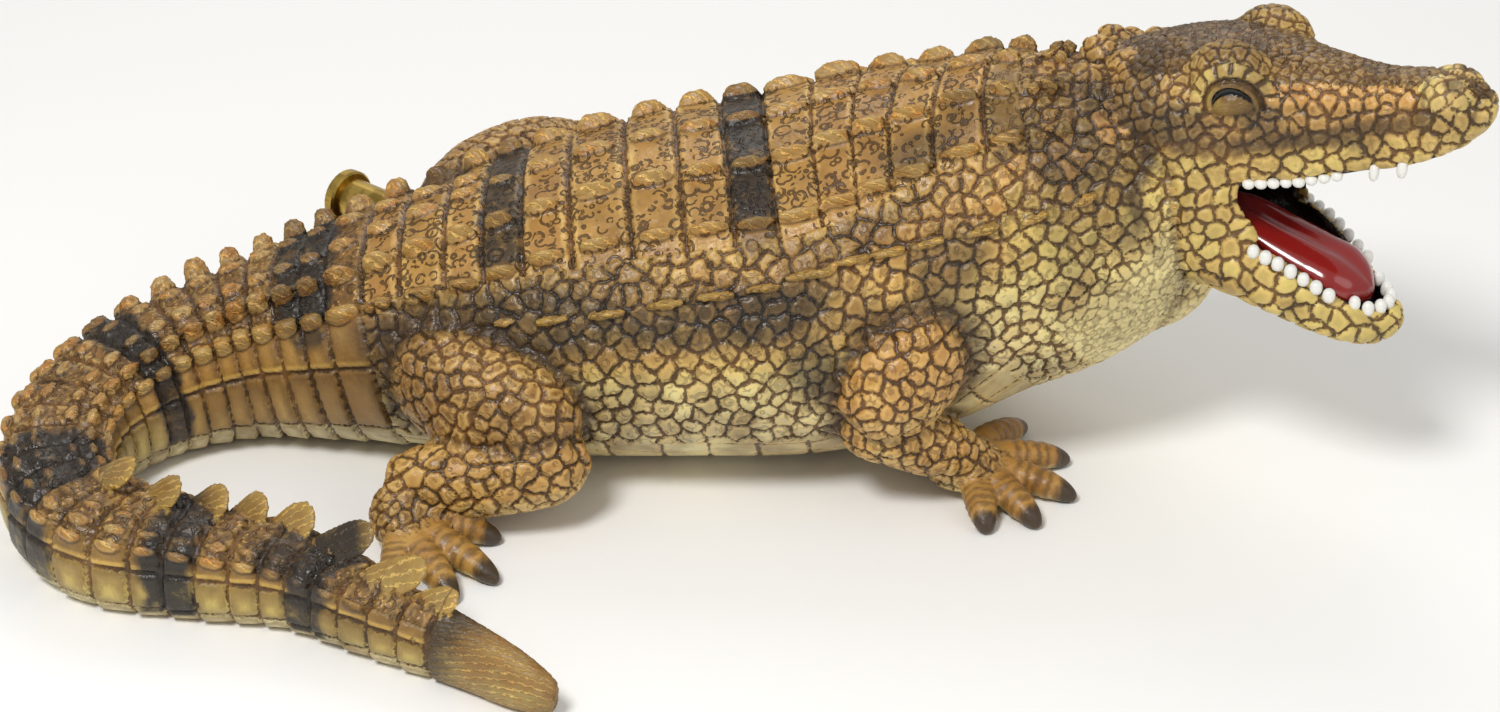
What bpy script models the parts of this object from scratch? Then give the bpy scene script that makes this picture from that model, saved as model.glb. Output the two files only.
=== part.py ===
"""Crocodile pond fountain statue: a hollow-cast resin figure and its brass hose inlet.

Metres, +Z up. The figure lies on z = 0 with its head towards +X, its belly line arched towards +Y
and its tail curled round on the -Y side. The origin is the middle of its footprint.
"""
import math

import bmesh
import bpy
import numpy as np
from mathutils import Vector

MM = 0.001

# Footprint middle in the modelling frame of the tables below, in millimetres
FOOTPRINT_MIDDLE = (-9.84, 53.18)

# Trunk sections from the tail tip to the nape:
# centre x, y, z, half width, half height, squareness of the section
TRUNK = (
    (-68, -119, 9, 3.5, 7.5, 2.0),
    (-79, -113, 11, 6.5, 11.5, 2.0),
    (-98, -100, 13, 8.5, 14.0, 2.1),
    (-138, -74, 15, 12.5, 15.0, 2.8),
    (-168, -55, 16, 15.5, 16.5, 2.8),
    (-205, -44, 17, 20.0, 19.0, 2.8),
    (-242, -32, 18, 22.0, 20.5, 2.8),
    (-263, -8, 19, 22.0, 21.0, 2.7),
    (-267, 34, 22, 23.5, 23.5, 2.6),
    (-247, 66, 26, 28.5, 27.5, 2.5),
    (-211, 86, 31, 34.5, 32.5, 2.4),
    (-172, 90, 38, 45.0, 39.5, 2.3),
    (-130, 89, 47, 58.0, 48.5, 2.2),
    (-80, 88, 56, 71.0, 58.0, 2.2),
    (-30, 90, 63, 80.0, 65.5, 2.1),
    (20, 93, 67, 83.0, 69.5, 2.1),
    (60, 93, 76.5, 79.0, 71.0, 2.1),
    (95, 86, 91.5, 68.0, 66.5, 2.1),
    (124, 77, 106, 54.0, 64.0, 2.1),
    (144, 71, 117.5, 43.0, 55.0, 2.0),
    (160, 67, 130, 34.0, 39.0, 2.0),
    (172, 63, 137, 22.0, 26.0, 2.0),
)

# Scutes: length along the back at the tail tip, the rump and the shoulder, and the groove between them
PITCH_AT_TAIL = 12.5
PITCH_AT_SHOULDER = 17.5
RUMP_LENGTH = 440.0
MIDBACK_LENGTH = 560.0
CREST_AT = 0.42
GROOVE = 1.1
# Share of a section's half height over which its facing is averaged, so that rings never cross at a bend
TANGENT_REACH = 0.5

# Angles from the top of the back to each column of points, and the columns that carry a keel
COLUMNS = (0, 11, 22, 32, 43, 54, 68, 96, 132, 180)
KEELS = {11: "inner", 32: "middle", 54: "outer", 96: "flank"}
# Keel height against length from the tail tip, in millimetres
KEEL_LENGTHS = (0, 60, 120, 230, 300, 345, 400, 460, 700, 860)
KEEL_HEIGHTS = {
    "inner": (0, 0, 0.8, 1.6, 2.2, 2.6, 2.8, 3.0, 3.6, 4.4),
    "middle": (0, 0, 1.4, 2.2, 3.6, 8.0, 8.0, 6.5, 4.4, 5.4),
    "outer": (0, 2.5, 3.0, 2.6, 3.2, 5.0, 5.5, 4.8, 4.2, 4.0),
    "flank": (0, 0, 0, 0, 0, 0, 0, 1.2, 2.2, 1.0),
}

# Leaf scutes of the tail crest: length from the tail tip, height on the inner and the outer side
LEAF_LENGTHS = (30, 48, 62, 80, 110, 150, 240)
LEAF_INNER = (0, 12, 15, 15, 12, 7, 3)
LEAF_OUTER = (6, 12, 13, 9, 5.5, 0, 0)
LEAF_FIRST, LEAF_LAST = 56.0, 235.0
LEAF_ANGLE = math.radians(40)
LEAF_LEAN = 0.55
LEAF_HALF_LENGTH, LEAF_HALF_THICK = 7.0, 2.2

# Head frame: eye line in plan and the way the snout points
EYES_AT = (190.0, 58.0)
SNOUT_TURN = math.radians(-33)

# Sections along the head: distance ahead of the eyes, height of the centre, half width, half height,
# squareness above and below
SKULL = (
    (-58, 140, 26, 27, 2.0, 2.0),
    (-38, 146, 35, 31, 2.2, 2.0),
    (-15, 151.5, 35, 32, 2.5, 2.6),
    (6, 157.5, 29, 27.5, 2.4, 4.0),
    (30, 161, 22.5, 23, 2.3, 5.0),
    (50, 165, 17, 19, 2.3, 5.0),
    (68, 170, 14.5, 17.5, 2.3, 4.5),
    (80, 173.5, 13.5, 14, 2.3, 3.6),
    (89, 176, 10, 9.5, 2.2, 2.6),
    (94, 178, 5, 5, 2.0, 2.0),
)
JAW = (
    (-44, 118, 26, 26, 2.0, 2.0),
    (-18, 107, 31, 23, 2.4, 2.1),
    (6, 100, 30.5, 17.5, 3.4, 2.2),
    (28, 93, 27, 15, 4.5, 2.2),
    (46, 85.5, 21.5, 11.5, 4.5, 2.2),
    (58, 81.5, 15, 8.5, 4.0, 2.2),
    (65, 82, 10, 6.5, 3.0, 2.2),
    (69, 83, 4, 3.5, 2.2, 2.0),
)
TONGUE = (
    (-12, 112, 9, 5, 2.0, 2.0),
    (0, 110, 13, 6.5, 2.2, 2.0),
    (18, 104.5, 15, 7.5, 2.2, 2.0),
    (38, 98, 15, 7.5, 2.2, 2.0),
    (50, 93.5, 11, 5.5, 2.2, 2.0),
    (56, 92, 5, 3, 2.0, 2.0),
)
# Inside of the mouth: distance, height of roof and floor, half width at roof and at floor
MOUTH = (
    (-16, 124, 112, 8, 8),
    (-4, 130, 104, 18, 18),
    (8, 138, 103, 23.5, 24),
    (28, 143.5, 97, 17.5, 20.5),
    (44, 148, 88.5, 13.5, 16.5),
    (55, 151, 84, 11.5, 11.5),
    (62, 154, 84, 10.5, 6),
    (74, 161, 118, 9, 6),
    (83, 167, 148, 6, 4),
)

# Rounded masses on the head: distance, side offset, height, and the three radii along those axes
BROWS = (-1, 20, 173.5, 17, 12.5, 16.5)
JOWLS = (-12, 19, 121, 19, 17, 29)
CHEEKS = (4, 20, 113, 15, 10, 15)
NOSTRILS = (76, 5.5, 182, 8, 6.5, 6.5)
THROAT = (-40, 5, 85, 33, 34, 32)
NAPE_LUMPS = (
    (-46, 13, 166, 8, 6, 7),
    (-60, 20, 160, 8, 6, 7),
    (-62, 6, 166, 8, 5.5, 7),
)

# Teeth: first and last distance along each lip, count, radius, length
UPPER_TEETH = ((8, 41, 8, 2.1, 4.2), (56, 66, 2, 2.1, 5.6))
LOWER_TEETH = ((17, 46, 6, 2.4, 4.4),)
# Front of the lower jaw: centre of the arch, where the gum stops rising, arch radius, count, radius, length
FRONT_TEETH = (51.0, 58.0, 12.0, 6, 2.3, 4.4)
GUM_INSET = 3.0

# Leg sections, upper limb, lower limb and foot: x, y, z, half width, half height
HIND_LEG = (
    (
        (-134, 70, 50, 20, 24),
        (-116, 38, 50, 24, 26),
        (-94, 19, 46, 23, 25),
        (-76, 13, 41, 17, 19),
        (-67, 11, 38, 8, 9),
    ),
    (
        (-64, 11, 34, 7, 8),
        (-74, 8, 30, 15, 16),
        (-90, 5, 27, 16, 17),
        (-108, 3, 24, 14.5, 15.5),
        (-128, 3, 23, 12.5, 13.5),
        (-140, 3, 23, 8, 8),
    ),
    (
        (-140, 3, 16, 7, 9),
        (-136, -4, 13, 12, 12),
        (-127, -12, 9, 14, 9),
        (-117, -20, 7, 10, 5),
    ),
)
HIND_TOES = (
    ((-126, -5, 10), (-96, -7)),
    ((-124, -14, 10), (-95, -36)),
    ((-128, -20, 9), (-110, -49)),
    ((-134, -20, 8), (-134, -44)),
)
FORE_LEG = (
    (
        (78, 56, 76, 20, 26),
        (62, 26, 64, 21, 25),
        (48, 14, 52, 17, 20),
        (39, 9, 45, 8, 10),
    ),
    (
        (37, 18, 44, 7, 8),
        (44, 20, 40, 13, 13.5),
        (58, 21, 33, 13, 13),
        (74, 26, 24, 12, 12.5),
        (87, 32, 16, 9, 9),
    ),
    (
        (74, 27, 15, 10, 9),
        (84, 33, 12, 17, 10.5),
        (97, 38.5, 8, 17, 7.5),
        (106, 40, 6, 10, 4.5),
    ),
)
FORE_TOES = (
    ((92, 50, 10), (113, 77)),
    ((99, 43, 9), (129, 51)),
    ((100, 32, 9), (129, 22.5)),
    ((96, 25, 9), (112.5, 2)),
    ((89, 22, 8), (92, -2)),
)
TOE_RADIUS = 6.2
CLAW_RADIUS = 5.0
# The legs on the far side: spine point and heading they mirror about, how far ahead of the near leg they
# stand, spread of the limb, lift of the knee
FAR_HIND = (-100, 89, 0.0, 11.0, 1.18, 24.0)
FAR_FORE = (62, 93, math.radians(-9), -34.0, 1.0, 0.0)

# Brass hose inlet: middle of the collar's outer face, the way the stub points, radii and lengths
INLET_END = (-170.5, 147.0, 73.0)
INLET_TURN = math.radians(140)
INLET_COLLAR = (11.8, 5.2)
INLET_NECK_RADIUS = 9.0
INLET_BORE_RADIUS = 6.4
INLET_LENGTH = 38.0
INLET_GAP = 0.3
INLET_SIDES = 32

# Water outlet at the back of the throat
OUTLET_RADIUS = 3.5
OUTLET_DEPTH = 22.0

# Points closer than this along a seam are one, and the most triangles of the casting before it is drilled
SEAM = 0.02
MOST_TRIANGLES = 8700


def clear_scene():
    for obj in list(bpy.data.objects):
        bpy.data.objects.remove(obj, do_unlink=True)


def material(name, colour, roughness, metallic=0.0):
    made = bpy.data.materials.new(name)
    made.use_nodes = True
    shader = made.node_tree.nodes["Principled BSDF"]
    shader.inputs["Base Color"].default_value = (*colour, 1.0)
    shader.inputs["Roughness"].default_value = roughness
    shader.inputs["Metallic"].default_value = metallic
    return made


def smooth_rows(rows, stations):
    """Rows of a section table, read from a smooth curve through them at each length along their centres."""
    table = np.array(rows, float)
    knots = np.concatenate([[0.0], np.cumsum(np.linalg.norm(np.diff(table[:, :3], axis=0), axis=1))])
    slopes = np.gradient(table, knots, axis=0)
    spot = np.clip(np.searchsorted(knots, stations) - 1, 0, len(knots) - 2)
    span = (knots[spot + 1] - knots[spot])[:, None]
    u = ((stations - knots[spot])[:, None]) / span
    start, end = table[spot], table[spot + 1]
    leave, arrive = slopes[spot] * span, slopes[spot + 1] * span
    return (
        (2 * u**3 - 3 * u**2 + 1) * start
        + (u**3 - 2 * u**2 + u) * leave
        + (3 * u**2 - 2 * u**3) * end
        + (u**3 - u**2) * arrive
    )


def table_length(rows):
    centres = np.array(rows, float)[:, :3]
    return float(np.linalg.norm(np.diff(centres, axis=0), axis=1).sum())


def power(value, squareness):
    return math.copysign(abs(value) ** (2 / squareness), value)


def section(centre, side, up, row, angles, lifts=None):
    """One ring of points: a rounded rectangle of half width and height, raised by lifts along its radius."""
    half_width, half_height, above, below = row
    ring = []
    for i, angle in enumerate(angles):
        across, rise = math.sin(angle), math.cos(angle)
        squareness = above if rise >= 0 else below
        out = side * (half_width * power(across, squareness)) + up * (half_height * power(rise, squareness))
        if lifts is not None:
            out += out.normalized() * lifts[i]
        ring.append(centre + out)
    return ring


def loft(name, rings):
    """A closed body through rings of equal count, each end closed by a fan."""
    mesh = bmesh.new()
    placed = [[mesh.verts.new(point * MM) for point in ring] for ring in rings]
    count = len(placed[0])
    for low, high in zip(placed, placed[1:]):
        for i in range(count):
            j = (i + 1) % count
            mesh.faces.new((low[i], low[j], high[j], high[i]))
    for ring in (placed[0], placed[-1]):
        middle = mesh.verts.new(sum((vert.co for vert in ring), Vector()) / count)
        for i in range(count):
            mesh.faces.new((middle, ring[i], ring[(i + 1) % count]))
    bmesh.ops.recalc_face_normals(mesh, faces=mesh.faces[:])
    return finished(name, mesh)


def finished(name, mesh):
    if mesh.calc_volume(signed=True) < 0:
        bmesh.ops.reverse_faces(mesh, faces=mesh.faces[:])
    data = bpy.data.meshes.new(name)
    mesh.to_mesh(data)
    mesh.free()
    obj = bpy.data.objects.new(name, data)
    bpy.context.scene.collection.objects.link(obj)
    return obj


def combine(target, tools, operation):
    """Joins or cuts one closed mesh with others in one pass, and removes them."""
    group = bpy.data.collections.new(operation)
    for tool in tools:
        group.objects.link(tool)
    step = target.modifiers.new(operation, "BOOLEAN")
    step.operand_type = "COLLECTION"
    step.collection = group
    step.operation = operation
    step.solver = "EXACT"
    graph = bpy.context.evaluated_depsgraph_get()
    result = bpy.data.meshes.new_from_object(target.evaluated_get(graph))
    target.modifiers.clear()
    target.data = result
    close_seams(target)
    for tool in tools:
        bpy.data.objects.remove(tool, do_unlink=True)
    bpy.data.collections.remove(group)


def close_seams(obj):
    """Drops the hair-thin faces that a join leaves along its seam."""
    mesh = bmesh.new()
    mesh.from_mesh(obj.data)
    bmesh.ops.triangulate(mesh, faces=mesh.faces[:])
    bmesh.ops.remove_doubles(mesh, verts=mesh.verts[:], dist=SEAM * MM)
    bmesh.ops.dissolve_degenerate(mesh, edges=mesh.edges[:], dist=SEAM * MM)
    bmesh.ops.triangulate(mesh, faces=mesh.faces[:])
    mesh.to_mesh(obj.data)
    mesh.free()


def thin_out(obj, most):
    """Collapses the small triangles of the seams until the body has no more than the given count."""
    count = len(obj.data.polygons)
    if count <= most:
        return
    step = obj.modifiers.new("thin_out", "DECIMATE")
    step.ratio = most / count
    graph = bpy.context.evaluated_depsgraph_get()
    result = bpy.data.meshes.new_from_object(obj.evaluated_get(graph))
    obj.modifiers.clear()
    obj.data = result


def frame_along(tangent):
    """Sideways and upward directions of a section that faces along a tangent."""
    side = tangent.cross(Vector((0, 0, 1))).normalized()
    return side, side.cross(tangent).normalized()


def scute_stations(length):
    """Lengths of the grooves and crests from the tail tip to the nape."""
    marks = []
    at = 14.0
    while at < length - 6:
        share = min(max((at - RUMP_LENGTH) / (MIDBACK_LENGTH - RUMP_LENGTH), 0), 1)
        pitch = PITCH_AT_TAIL + share * (PITCH_AT_SHOULDER - PITCH_AT_TAIL)
        marks.append((at, False))
        marks.append((at + CREST_AT * pitch, True))
        at += pitch
    return [(0.0, False), (6.0, False)] + marks


def relief(column, at, crest):
    """Height that the carving adds at one column and one length."""
    upper = column <= 68
    if not crest:
        return -GROOVE if upper and at > 20 else -0.4 * GROOVE
    if column not in KEELS:
        return 0.0
    return float(np.interp(at, KEEL_LENGTHS, KEEL_HEIGHTS[KEELS[column]]))


def trunk():
    length = table_length(TRUNK)
    marks = scute_stations(length)
    stations = np.array([at for at, crest in marks])
    rows = smooth_rows(TRUNK, stations)
    reach = TANGENT_REACH * rows[:, 4]
    ahead = smooth_rows(TRUNK, np.minimum(stations + reach, length))
    behind = smooth_rows(TRUNK, np.maximum(stations - reach, 0.0))
    columns = list(COLUMNS) + [-column for column in reversed(COLUMNS[1:-1])]
    angles = [math.radians(column) for column in columns]
    rings = []
    for (at, crest), row, after, before in zip(marks, rows, ahead, behind):
        side, up = frame_along(Vector(after[:3] - before[:3]))
        lifts = [relief(abs(column), at, crest) for column in columns]
        half_width, half_height, square = row[3:]
        rings.append(section(Vector(row[:3]), side, up, (half_width, half_height, square, square), angles, lifts))
    return loft("crocodile", rings)


def tail_leaf(at, hand, height):
    """A leaf-shaped scute of the tail crest, leaning towards the tail tip and outwards."""
    row, after, before = smooth_rows(TRUNK, np.array([at, at + 4, at - 4]))
    tangent = Vector(after[:3] - before[:3]).normalized()
    side, up = frame_along(tangent)
    half_width, half_height, square = row[3:]
    out = section(Vector(), side, up, (half_width, half_height, square, square), [LEAF_ANGLE * hand])[0]
    root = Vector(row[:3]) + out * 0.8
    rise = (up + side * (0.35 * hand) - tangent * LEAF_LEAN).normalized()
    across = rise.cross(tangent).normalized()
    blade = across.cross(rise)
    rings = []
    for share, long, thick in ((0, 0.8, 1.0), (0.68, 1.0, 0.8), (1.0, 0.5, 0.5)):
        size = (LEAF_HALF_LENGTH * long, LEAF_HALF_THICK * thick, 2, 2)
        middle = root + rise * ((height + 4) * share)
        rings.append(section(middle, blade, across, size, [math.tau * i / 4 for i in range(4)]))
    return loft("leaf", rings)


def tail_leaves():
    """The crest scutes of the tail's last stretch, two rows."""
    made = []
    for at, crest in scute_stations(table_length(TRUNK)):
        if crest and LEAF_FIRST < at < LEAF_LAST:
            for hand, heights in ((-1, LEAF_OUTER), (1, LEAF_INNER)):
                height = float(np.interp(at, LEAF_LENGTHS, heights))
                if height > 0:
                    made.append(tail_leaf(at, hand, height))
    return made


def head_axes():
    forward = Vector((math.cos(SNOUT_TURN), math.sin(SNOUT_TURN), 0))
    side = forward.cross(Vector((0, 0, 1)))
    return forward, side


def head_point(distance, offset, height):
    forward, side = head_axes()
    return Vector((*EYES_AT, 0)) + forward * distance + side * offset + Vector((0, 0, height))


def head_loft(name, rows, stations, sides):
    """A body along the head's own axis, upright sections read smoothly from its table."""
    forward, side = head_axes()
    table = [(row[0], 0.0, *row[1:]) for row in rows]
    lengths = np.linspace(0, 1, stations) * table_length([row[:2] + (row[2],) for row in table])
    rings = []
    angles = [math.tau * (i + 0.5) / sides for i in range(sides)]
    for row in smooth_rows(table, lengths):
        centre = head_point(row[0], 0, row[2])
        rings.append(section(centre, side, Vector((0, 0, 1)), tuple(row[3:]), angles))
    return loft(name, rings)


def head_mass(name, mass, hand, sides=10, tiers=5):
    """A rounded mass on one side of the head."""
    distance, offset, height, long, wide, high = mass
    centre = head_point(distance, offset * hand, height)
    forward, side = head_axes()
    rings = []
    for tier in range(1, tiers):
        turn = math.pi * tier / tiers
        reach = math.sin(turn)
        middle = centre - forward * (long * math.cos(turn))
        angles = [math.tau * i / sides for i in range(sides)]
        rings.append(section(middle, side, Vector((0, 0, 1)), (wide * reach, high * reach, 2, 2), angles))
    return loft(name, rings)


def mouth_cutter():
    """The dark space between the jaws, a tapering box narrower than the lips."""
    rings = []
    for distance, roof, floor, roof_half, floor_half in MOUTH:
        rings.append(
            [
                head_point(distance, roof_half, roof - 2.5),
                head_point(distance, roof_half - 3.5, roof),
                head_point(distance, 3.5 - roof_half, roof),
                head_point(distance, -roof_half, roof - 2.5),
                head_point(distance, -floor_half, floor + 3),
                head_point(distance, 4 - floor_half, floor),
                head_point(distance, floor_half - 4, floor),
                head_point(distance, floor_half, floor + 3),
            ]
        )
    return loft("mouth", rings)


def lip(rows, distance, inset, below):
    """Side offset and height of the gum, a little inside a jaw's edge, at a distance ahead of the eyes."""
    table = np.array(rows, float)
    height, half_width, half_height, square = (
        float(np.interp(distance, table[:, 0], table[:, k])) for k in (1, 2, 3, 5 if below else 4)
    )
    across = 1 - inset / half_width
    rise = half_height * (1 - across**square) ** (1 / square)
    return half_width - inset, height + (-rise if below else rise)


def tooth(centre, radius, length, up):
    """A blunt peg, its root in the gum."""
    mesh = bmesh.new()
    narrow = 0.45 * radius * MM
    radii = (radius * MM, narrow) if up > 0 else (narrow, radius * MM)
    bmesh.ops.create_cone(
        mesh, cap_ends=True, segments=5, radius1=radii[0], radius2=radii[1], depth=1.5 * length * MM
    )
    bmesh.ops.translate(mesh, verts=mesh.verts[:], vec=(centre + Vector((0, 0, up * length / 4))) * MM)
    return finished("tooth", mesh)


def teeth():
    made = []
    for rows, groups, up in ((SKULL, UPPER_TEETH, -1), (JAW, LOWER_TEETH, 1)):
        for first, last, count, radius, length in groups:
            for distance in np.linspace(first, last, count):
                offset, height = lip(rows, distance, GUM_INSET, below=up < 0)
                for hand in (1, -1):
                    made.append(tooth(head_point(distance, hand * offset, height), radius, length, up))
    first, last, reach, count, radius, length = FRONT_TEETH
    for turn in np.linspace(-1, 1, count) * math.radians(76):
        distance = first + reach * math.cos(turn)
        height = lip(JAW, min(distance, last), GUM_INSET, below=False)[1]
        made.append(tooth(head_point(distance, reach * math.sin(turn), height), radius, length, 1))
    return made


def limb(name, rows, sides=10):
    """One stretch of a leg: rings along the smooth line through its section table."""
    table = [(*row, 2.1) for row in rows]
    length = table_length(table)
    stations = np.linspace(0, length, len(rows) * 2 - 1)
    points = smooth_rows(table, stations)
    ahead = smooth_rows(table, np.minimum(stations + 0.5, length))
    behind = smooth_rows(table, np.maximum(stations - 0.5, 0))
    angles = [math.tau * i / sides for i in range(sides)]
    rings = []
    for row, after, before in zip(points, ahead, behind):
        side, up = frame_along(Vector(after[:3] - before[:3]))
        rings.append(section(Vector(row[:3]), side, up, (row[3], row[4], 2.1, 2.1), angles))
    return loft(name, rings)


def toe(base, tip):
    """A toe with its claw, from inside the foot to the claw's point on the ground."""
    start = Vector(base)
    end = Vector((*tip, 2.6))
    along = end - start
    side, up = frame_along(along.normalized())
    shape = ((-0.25, 0.8, 0), (0.3, 1.0, 1.0), (0.74, 0.85, 1.0), (1.0, 0.4, -0.4))
    rings = []
    for share, width, rise in shape:
        radius = (TOE_RADIUS if share < 0.75 else CLAW_RADIUS) * width
        centre = start + along * share + Vector((0, 0, rise))
        angles = [math.tau * i / 6 for i in range(6)]
        rings.append(section(centre, side, up, (radius, radius * 0.95, 2, 2), angles))
    return loft("toe", rings)


def mirrored(point, mirror):
    """A point on the near side taken across the spine to the far side."""
    x, y, heading, ahead, spread, lift = mirror
    along = Vector((math.cos(heading), math.sin(heading)))
    across = Vector((-along.y, along.x))
    offset = Vector((point[0] - x, point[1] - y))
    upper = min(max((point[2] - 20) / 20, 0), 1)
    reach = -offset.dot(across) * (1 + (spread - 1) * upper)
    moved = Vector((x, y)) + along * (offset.dot(along) + ahead) + across * reach
    return (moved.x, moved.y, point[2] + lift * upper)


def leg_parts(limbs, toes, mirror=None):
    """One leg and its toes, on the near side or mirrored to the far side."""
    if mirror:
        limbs = [[(*mirrored(row[:3], mirror), *row[3:]) for row in rows] for rows in limbs]
        toes = [(mirrored(base, mirror), mirrored((*tip, 0), mirror)[:2]) for base, tip in toes]
    return [limb("leg", rows) for rows in limbs] + [toe(base, tip) for base, tip in toes]


def turned(name, profile, centre, along, sides):
    """A body turned about an axis: profile rows are distance along it and radius, inner rows last."""
    side, up = frame_along(along)
    mesh = bmesh.new()
    rings = []
    for distance, radius in profile:
        middle = centre + along * distance
        angles = [math.tau * i / sides for i in range(sides)]
        ring = section(middle, side, up, (radius, radius, 2, 2), angles)
        rings.append([mesh.verts.new(point * MM) for point in ring])
    for low, high in zip(rings, rings[1:] + rings[:1]):
        for i in range(sides):
            j = (i + 1) % sides
            mesh.faces.new((low[i], low[j], high[j], high[i]))
    bmesh.ops.recalc_face_normals(mesh, faces=mesh.faces[:])
    return finished(name, mesh)


def inlet_axis():
    return Vector(INLET_END), Vector((math.cos(INLET_TURN), math.sin(INLET_TURN), 0))


def rod(name, start, end, radius, sides):
    along = (end - start).normalized()
    side, up = frame_along(along)
    angles = [math.tau * i / sides for i in range(sides)]
    rings = [section(point, side, up, (radius, radius, 2, 2), angles) for point in (start, end)]
    return loft(name, rings)


def hose_inlet():
    """Collar, neck and through bore of the brass stub, from its outer face inwards."""
    end, outward = inlet_axis()
    collar_radius, collar_length = INLET_COLLAR
    inward = -outward
    profile = (
        (0.0, INLET_BORE_RADIUS + 0.8),
        (0.0, collar_radius - 0.8),
        (0.8, collar_radius),
        (collar_length - 0.8, collar_radius),
        (collar_length, collar_radius - 0.8),
        (collar_length, INLET_NECK_RADIUS),
        (INLET_LENGTH, INLET_NECK_RADIUS),
        (INLET_LENGTH, INLET_BORE_RADIUS),
        (0.8, INLET_BORE_RADIUS),
    )
    return turned("hose_inlet", profile, end, inward, INLET_SIDES)


def box(name, low, high):
    mesh = bmesh.new()
    bmesh.ops.create_cube(mesh, size=1.0)
    for vert in mesh.verts:
        vert.co = Vector([(low[k] if vert.co[k] < 0 else high[k]) * MM for k in range(3)])
    return finished(name, mesh)


def crocodile():
    body = trunk()
    additions = [head_loft("skull", SKULL, 13, 18), head_loft("jaw", JAW, 10, 14)]
    additions.append(head_mass("throat", THROAT, 1, sides=12, tiers=7))
    additions += tail_leaves()
    for hand in (1, -1):
        for mass in (BROWS, JOWLS, CHEEKS, NOSTRILS):
            additions.append(head_mass("mass", mass, hand))
        for mass in NAPE_LUMPS:
            additions.append(head_mass("lump", mass, hand, sides=6, tiers=4))
    additions += leg_parts(HIND_LEG, HIND_TOES)
    additions += leg_parts(FORE_LEG, FORE_TOES)
    additions += leg_parts(HIND_LEG, HIND_TOES, FAR_HIND)
    additions += leg_parts(FORE_LEG, FORE_TOES, FAR_FORE)
    combine(body, additions, "UNION")
    combine(body, [mouth_cutter()], "DIFFERENCE")
    combine(body, [head_loft("tongue", TONGUE, 8, 10)] + teeth(), "UNION")
    thin_out(body, MOST_TRIANGLES)
    outlet_end = head_point(-8, 0, 124)
    outlet = rod("outlet", outlet_end - head_axes()[0] * OUTLET_DEPTH, outlet_end, OUTLET_RADIUS, 12)
    end, outward = inlet_axis()
    socket_bottom = end - outward * (INLET_LENGTH + INLET_GAP)
    socket = rod("socket", socket_bottom, end, INLET_NECK_RADIUS + INLET_GAP, INLET_SIDES)
    combine(body, [outlet, socket, box("ground", (-400, -250, -60), (400, 350, 0))], "DIFFERENCE")
    return body


def centre_on_footprint(objects):
    shift = Vector((-FOOTPRINT_MIDDLE[0], -FOOTPRINT_MIDDLE[1], 0)) * MM
    for obj in objects:
        for vert in obj.data.vertices:
            vert.co += shift


clear_scene()
resin_body = crocodile()
brass_stub = hose_inlet()
centre_on_footprint((resin_body, brass_stub))
resin_body.data.materials.clear()
resin_body.data.materials.append(material("painted_resin", (0.42, 0.27, 0.11), 0.48))
brass_stub.data.materials.append(material("brass", (0.55, 0.40, 0.13), 0.32, 1.0))
for piece in (resin_body, brass_stub):
    piece.data.shade_smooth()
    piece.data.set_sharp_from_angle(angle=math.radians(35))
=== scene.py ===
import math
from itertools import product

import bmesh
import bpy
import numpy as np
from mathutils import Matrix, Vector
from mathutils.kdtree import KDTree


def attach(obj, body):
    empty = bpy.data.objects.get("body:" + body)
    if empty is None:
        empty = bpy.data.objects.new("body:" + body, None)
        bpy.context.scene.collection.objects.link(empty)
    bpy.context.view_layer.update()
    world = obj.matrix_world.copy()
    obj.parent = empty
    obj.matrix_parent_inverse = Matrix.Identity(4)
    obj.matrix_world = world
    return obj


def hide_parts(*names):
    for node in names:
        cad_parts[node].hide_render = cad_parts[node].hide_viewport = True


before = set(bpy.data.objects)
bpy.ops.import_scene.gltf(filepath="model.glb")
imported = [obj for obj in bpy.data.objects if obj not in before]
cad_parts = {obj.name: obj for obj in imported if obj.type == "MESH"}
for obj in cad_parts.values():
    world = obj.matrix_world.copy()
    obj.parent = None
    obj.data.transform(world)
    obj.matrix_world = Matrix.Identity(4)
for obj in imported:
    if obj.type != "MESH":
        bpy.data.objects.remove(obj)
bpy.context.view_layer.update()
mm = 0.001
middle = np.array((-9.84, 53.18, 0.0))  # footprint middle in the modelling frame, in mm
zUp = np.array((0.0, 0.0, 1.0))
rng = np.random.default_rng(11)

# everything below is measured in mm in the modelling frame, and moved to the footprint middle at the end


# sections along a smooth line
def smoothRows(rows, stations):
    table = np.array(rows, float)
    knots = np.concatenate([[0.0], np.cumsum(np.linalg.norm(np.diff(table[:, :3], axis=0), axis=1))])
    slopes = np.gradient(table, knots, axis=0)
    spot = np.clip(np.searchsorted(knots, stations) - 1, 0, len(knots) - 2)
    span = (knots[spot + 1] - knots[spot])[:, None]
    u = (stations - knots[spot])[:, None] / span
    a, b = table[spot], table[spot + 1]
    da, db = slopes[spot] * span, slopes[spot + 1] * span
    leaving = (2 * u**3 - 3 * u**2 + 1) * a + (u**3 - 2 * u**2 + u) * da
    return leaving + (3 * u**2 - 2 * u**3) * b + (u**3 - u**2) * db


def tableLength(rows):
    return float(np.linalg.norm(np.diff(np.array(rows, float)[:, :3], axis=0), axis=1).sum())


def unit(v):
    return v / np.maximum(np.linalg.norm(v, axis=-1, keepdims=True), 1e-9)


def bend(v, squareness):
    return np.sign(v) * np.abs(v) ** (2 / squareness)


def softStep(v, low, high):
    t = np.clip((v - low) / (high - low), 0, 1)
    return t * t * (3 - 2 * t)


def fade(v, low, high):
    return 1 - softStep(v, low, high)


def circle(count, shift=0.0):
    return (np.arange(count) + shift) * math.tau / count


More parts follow.
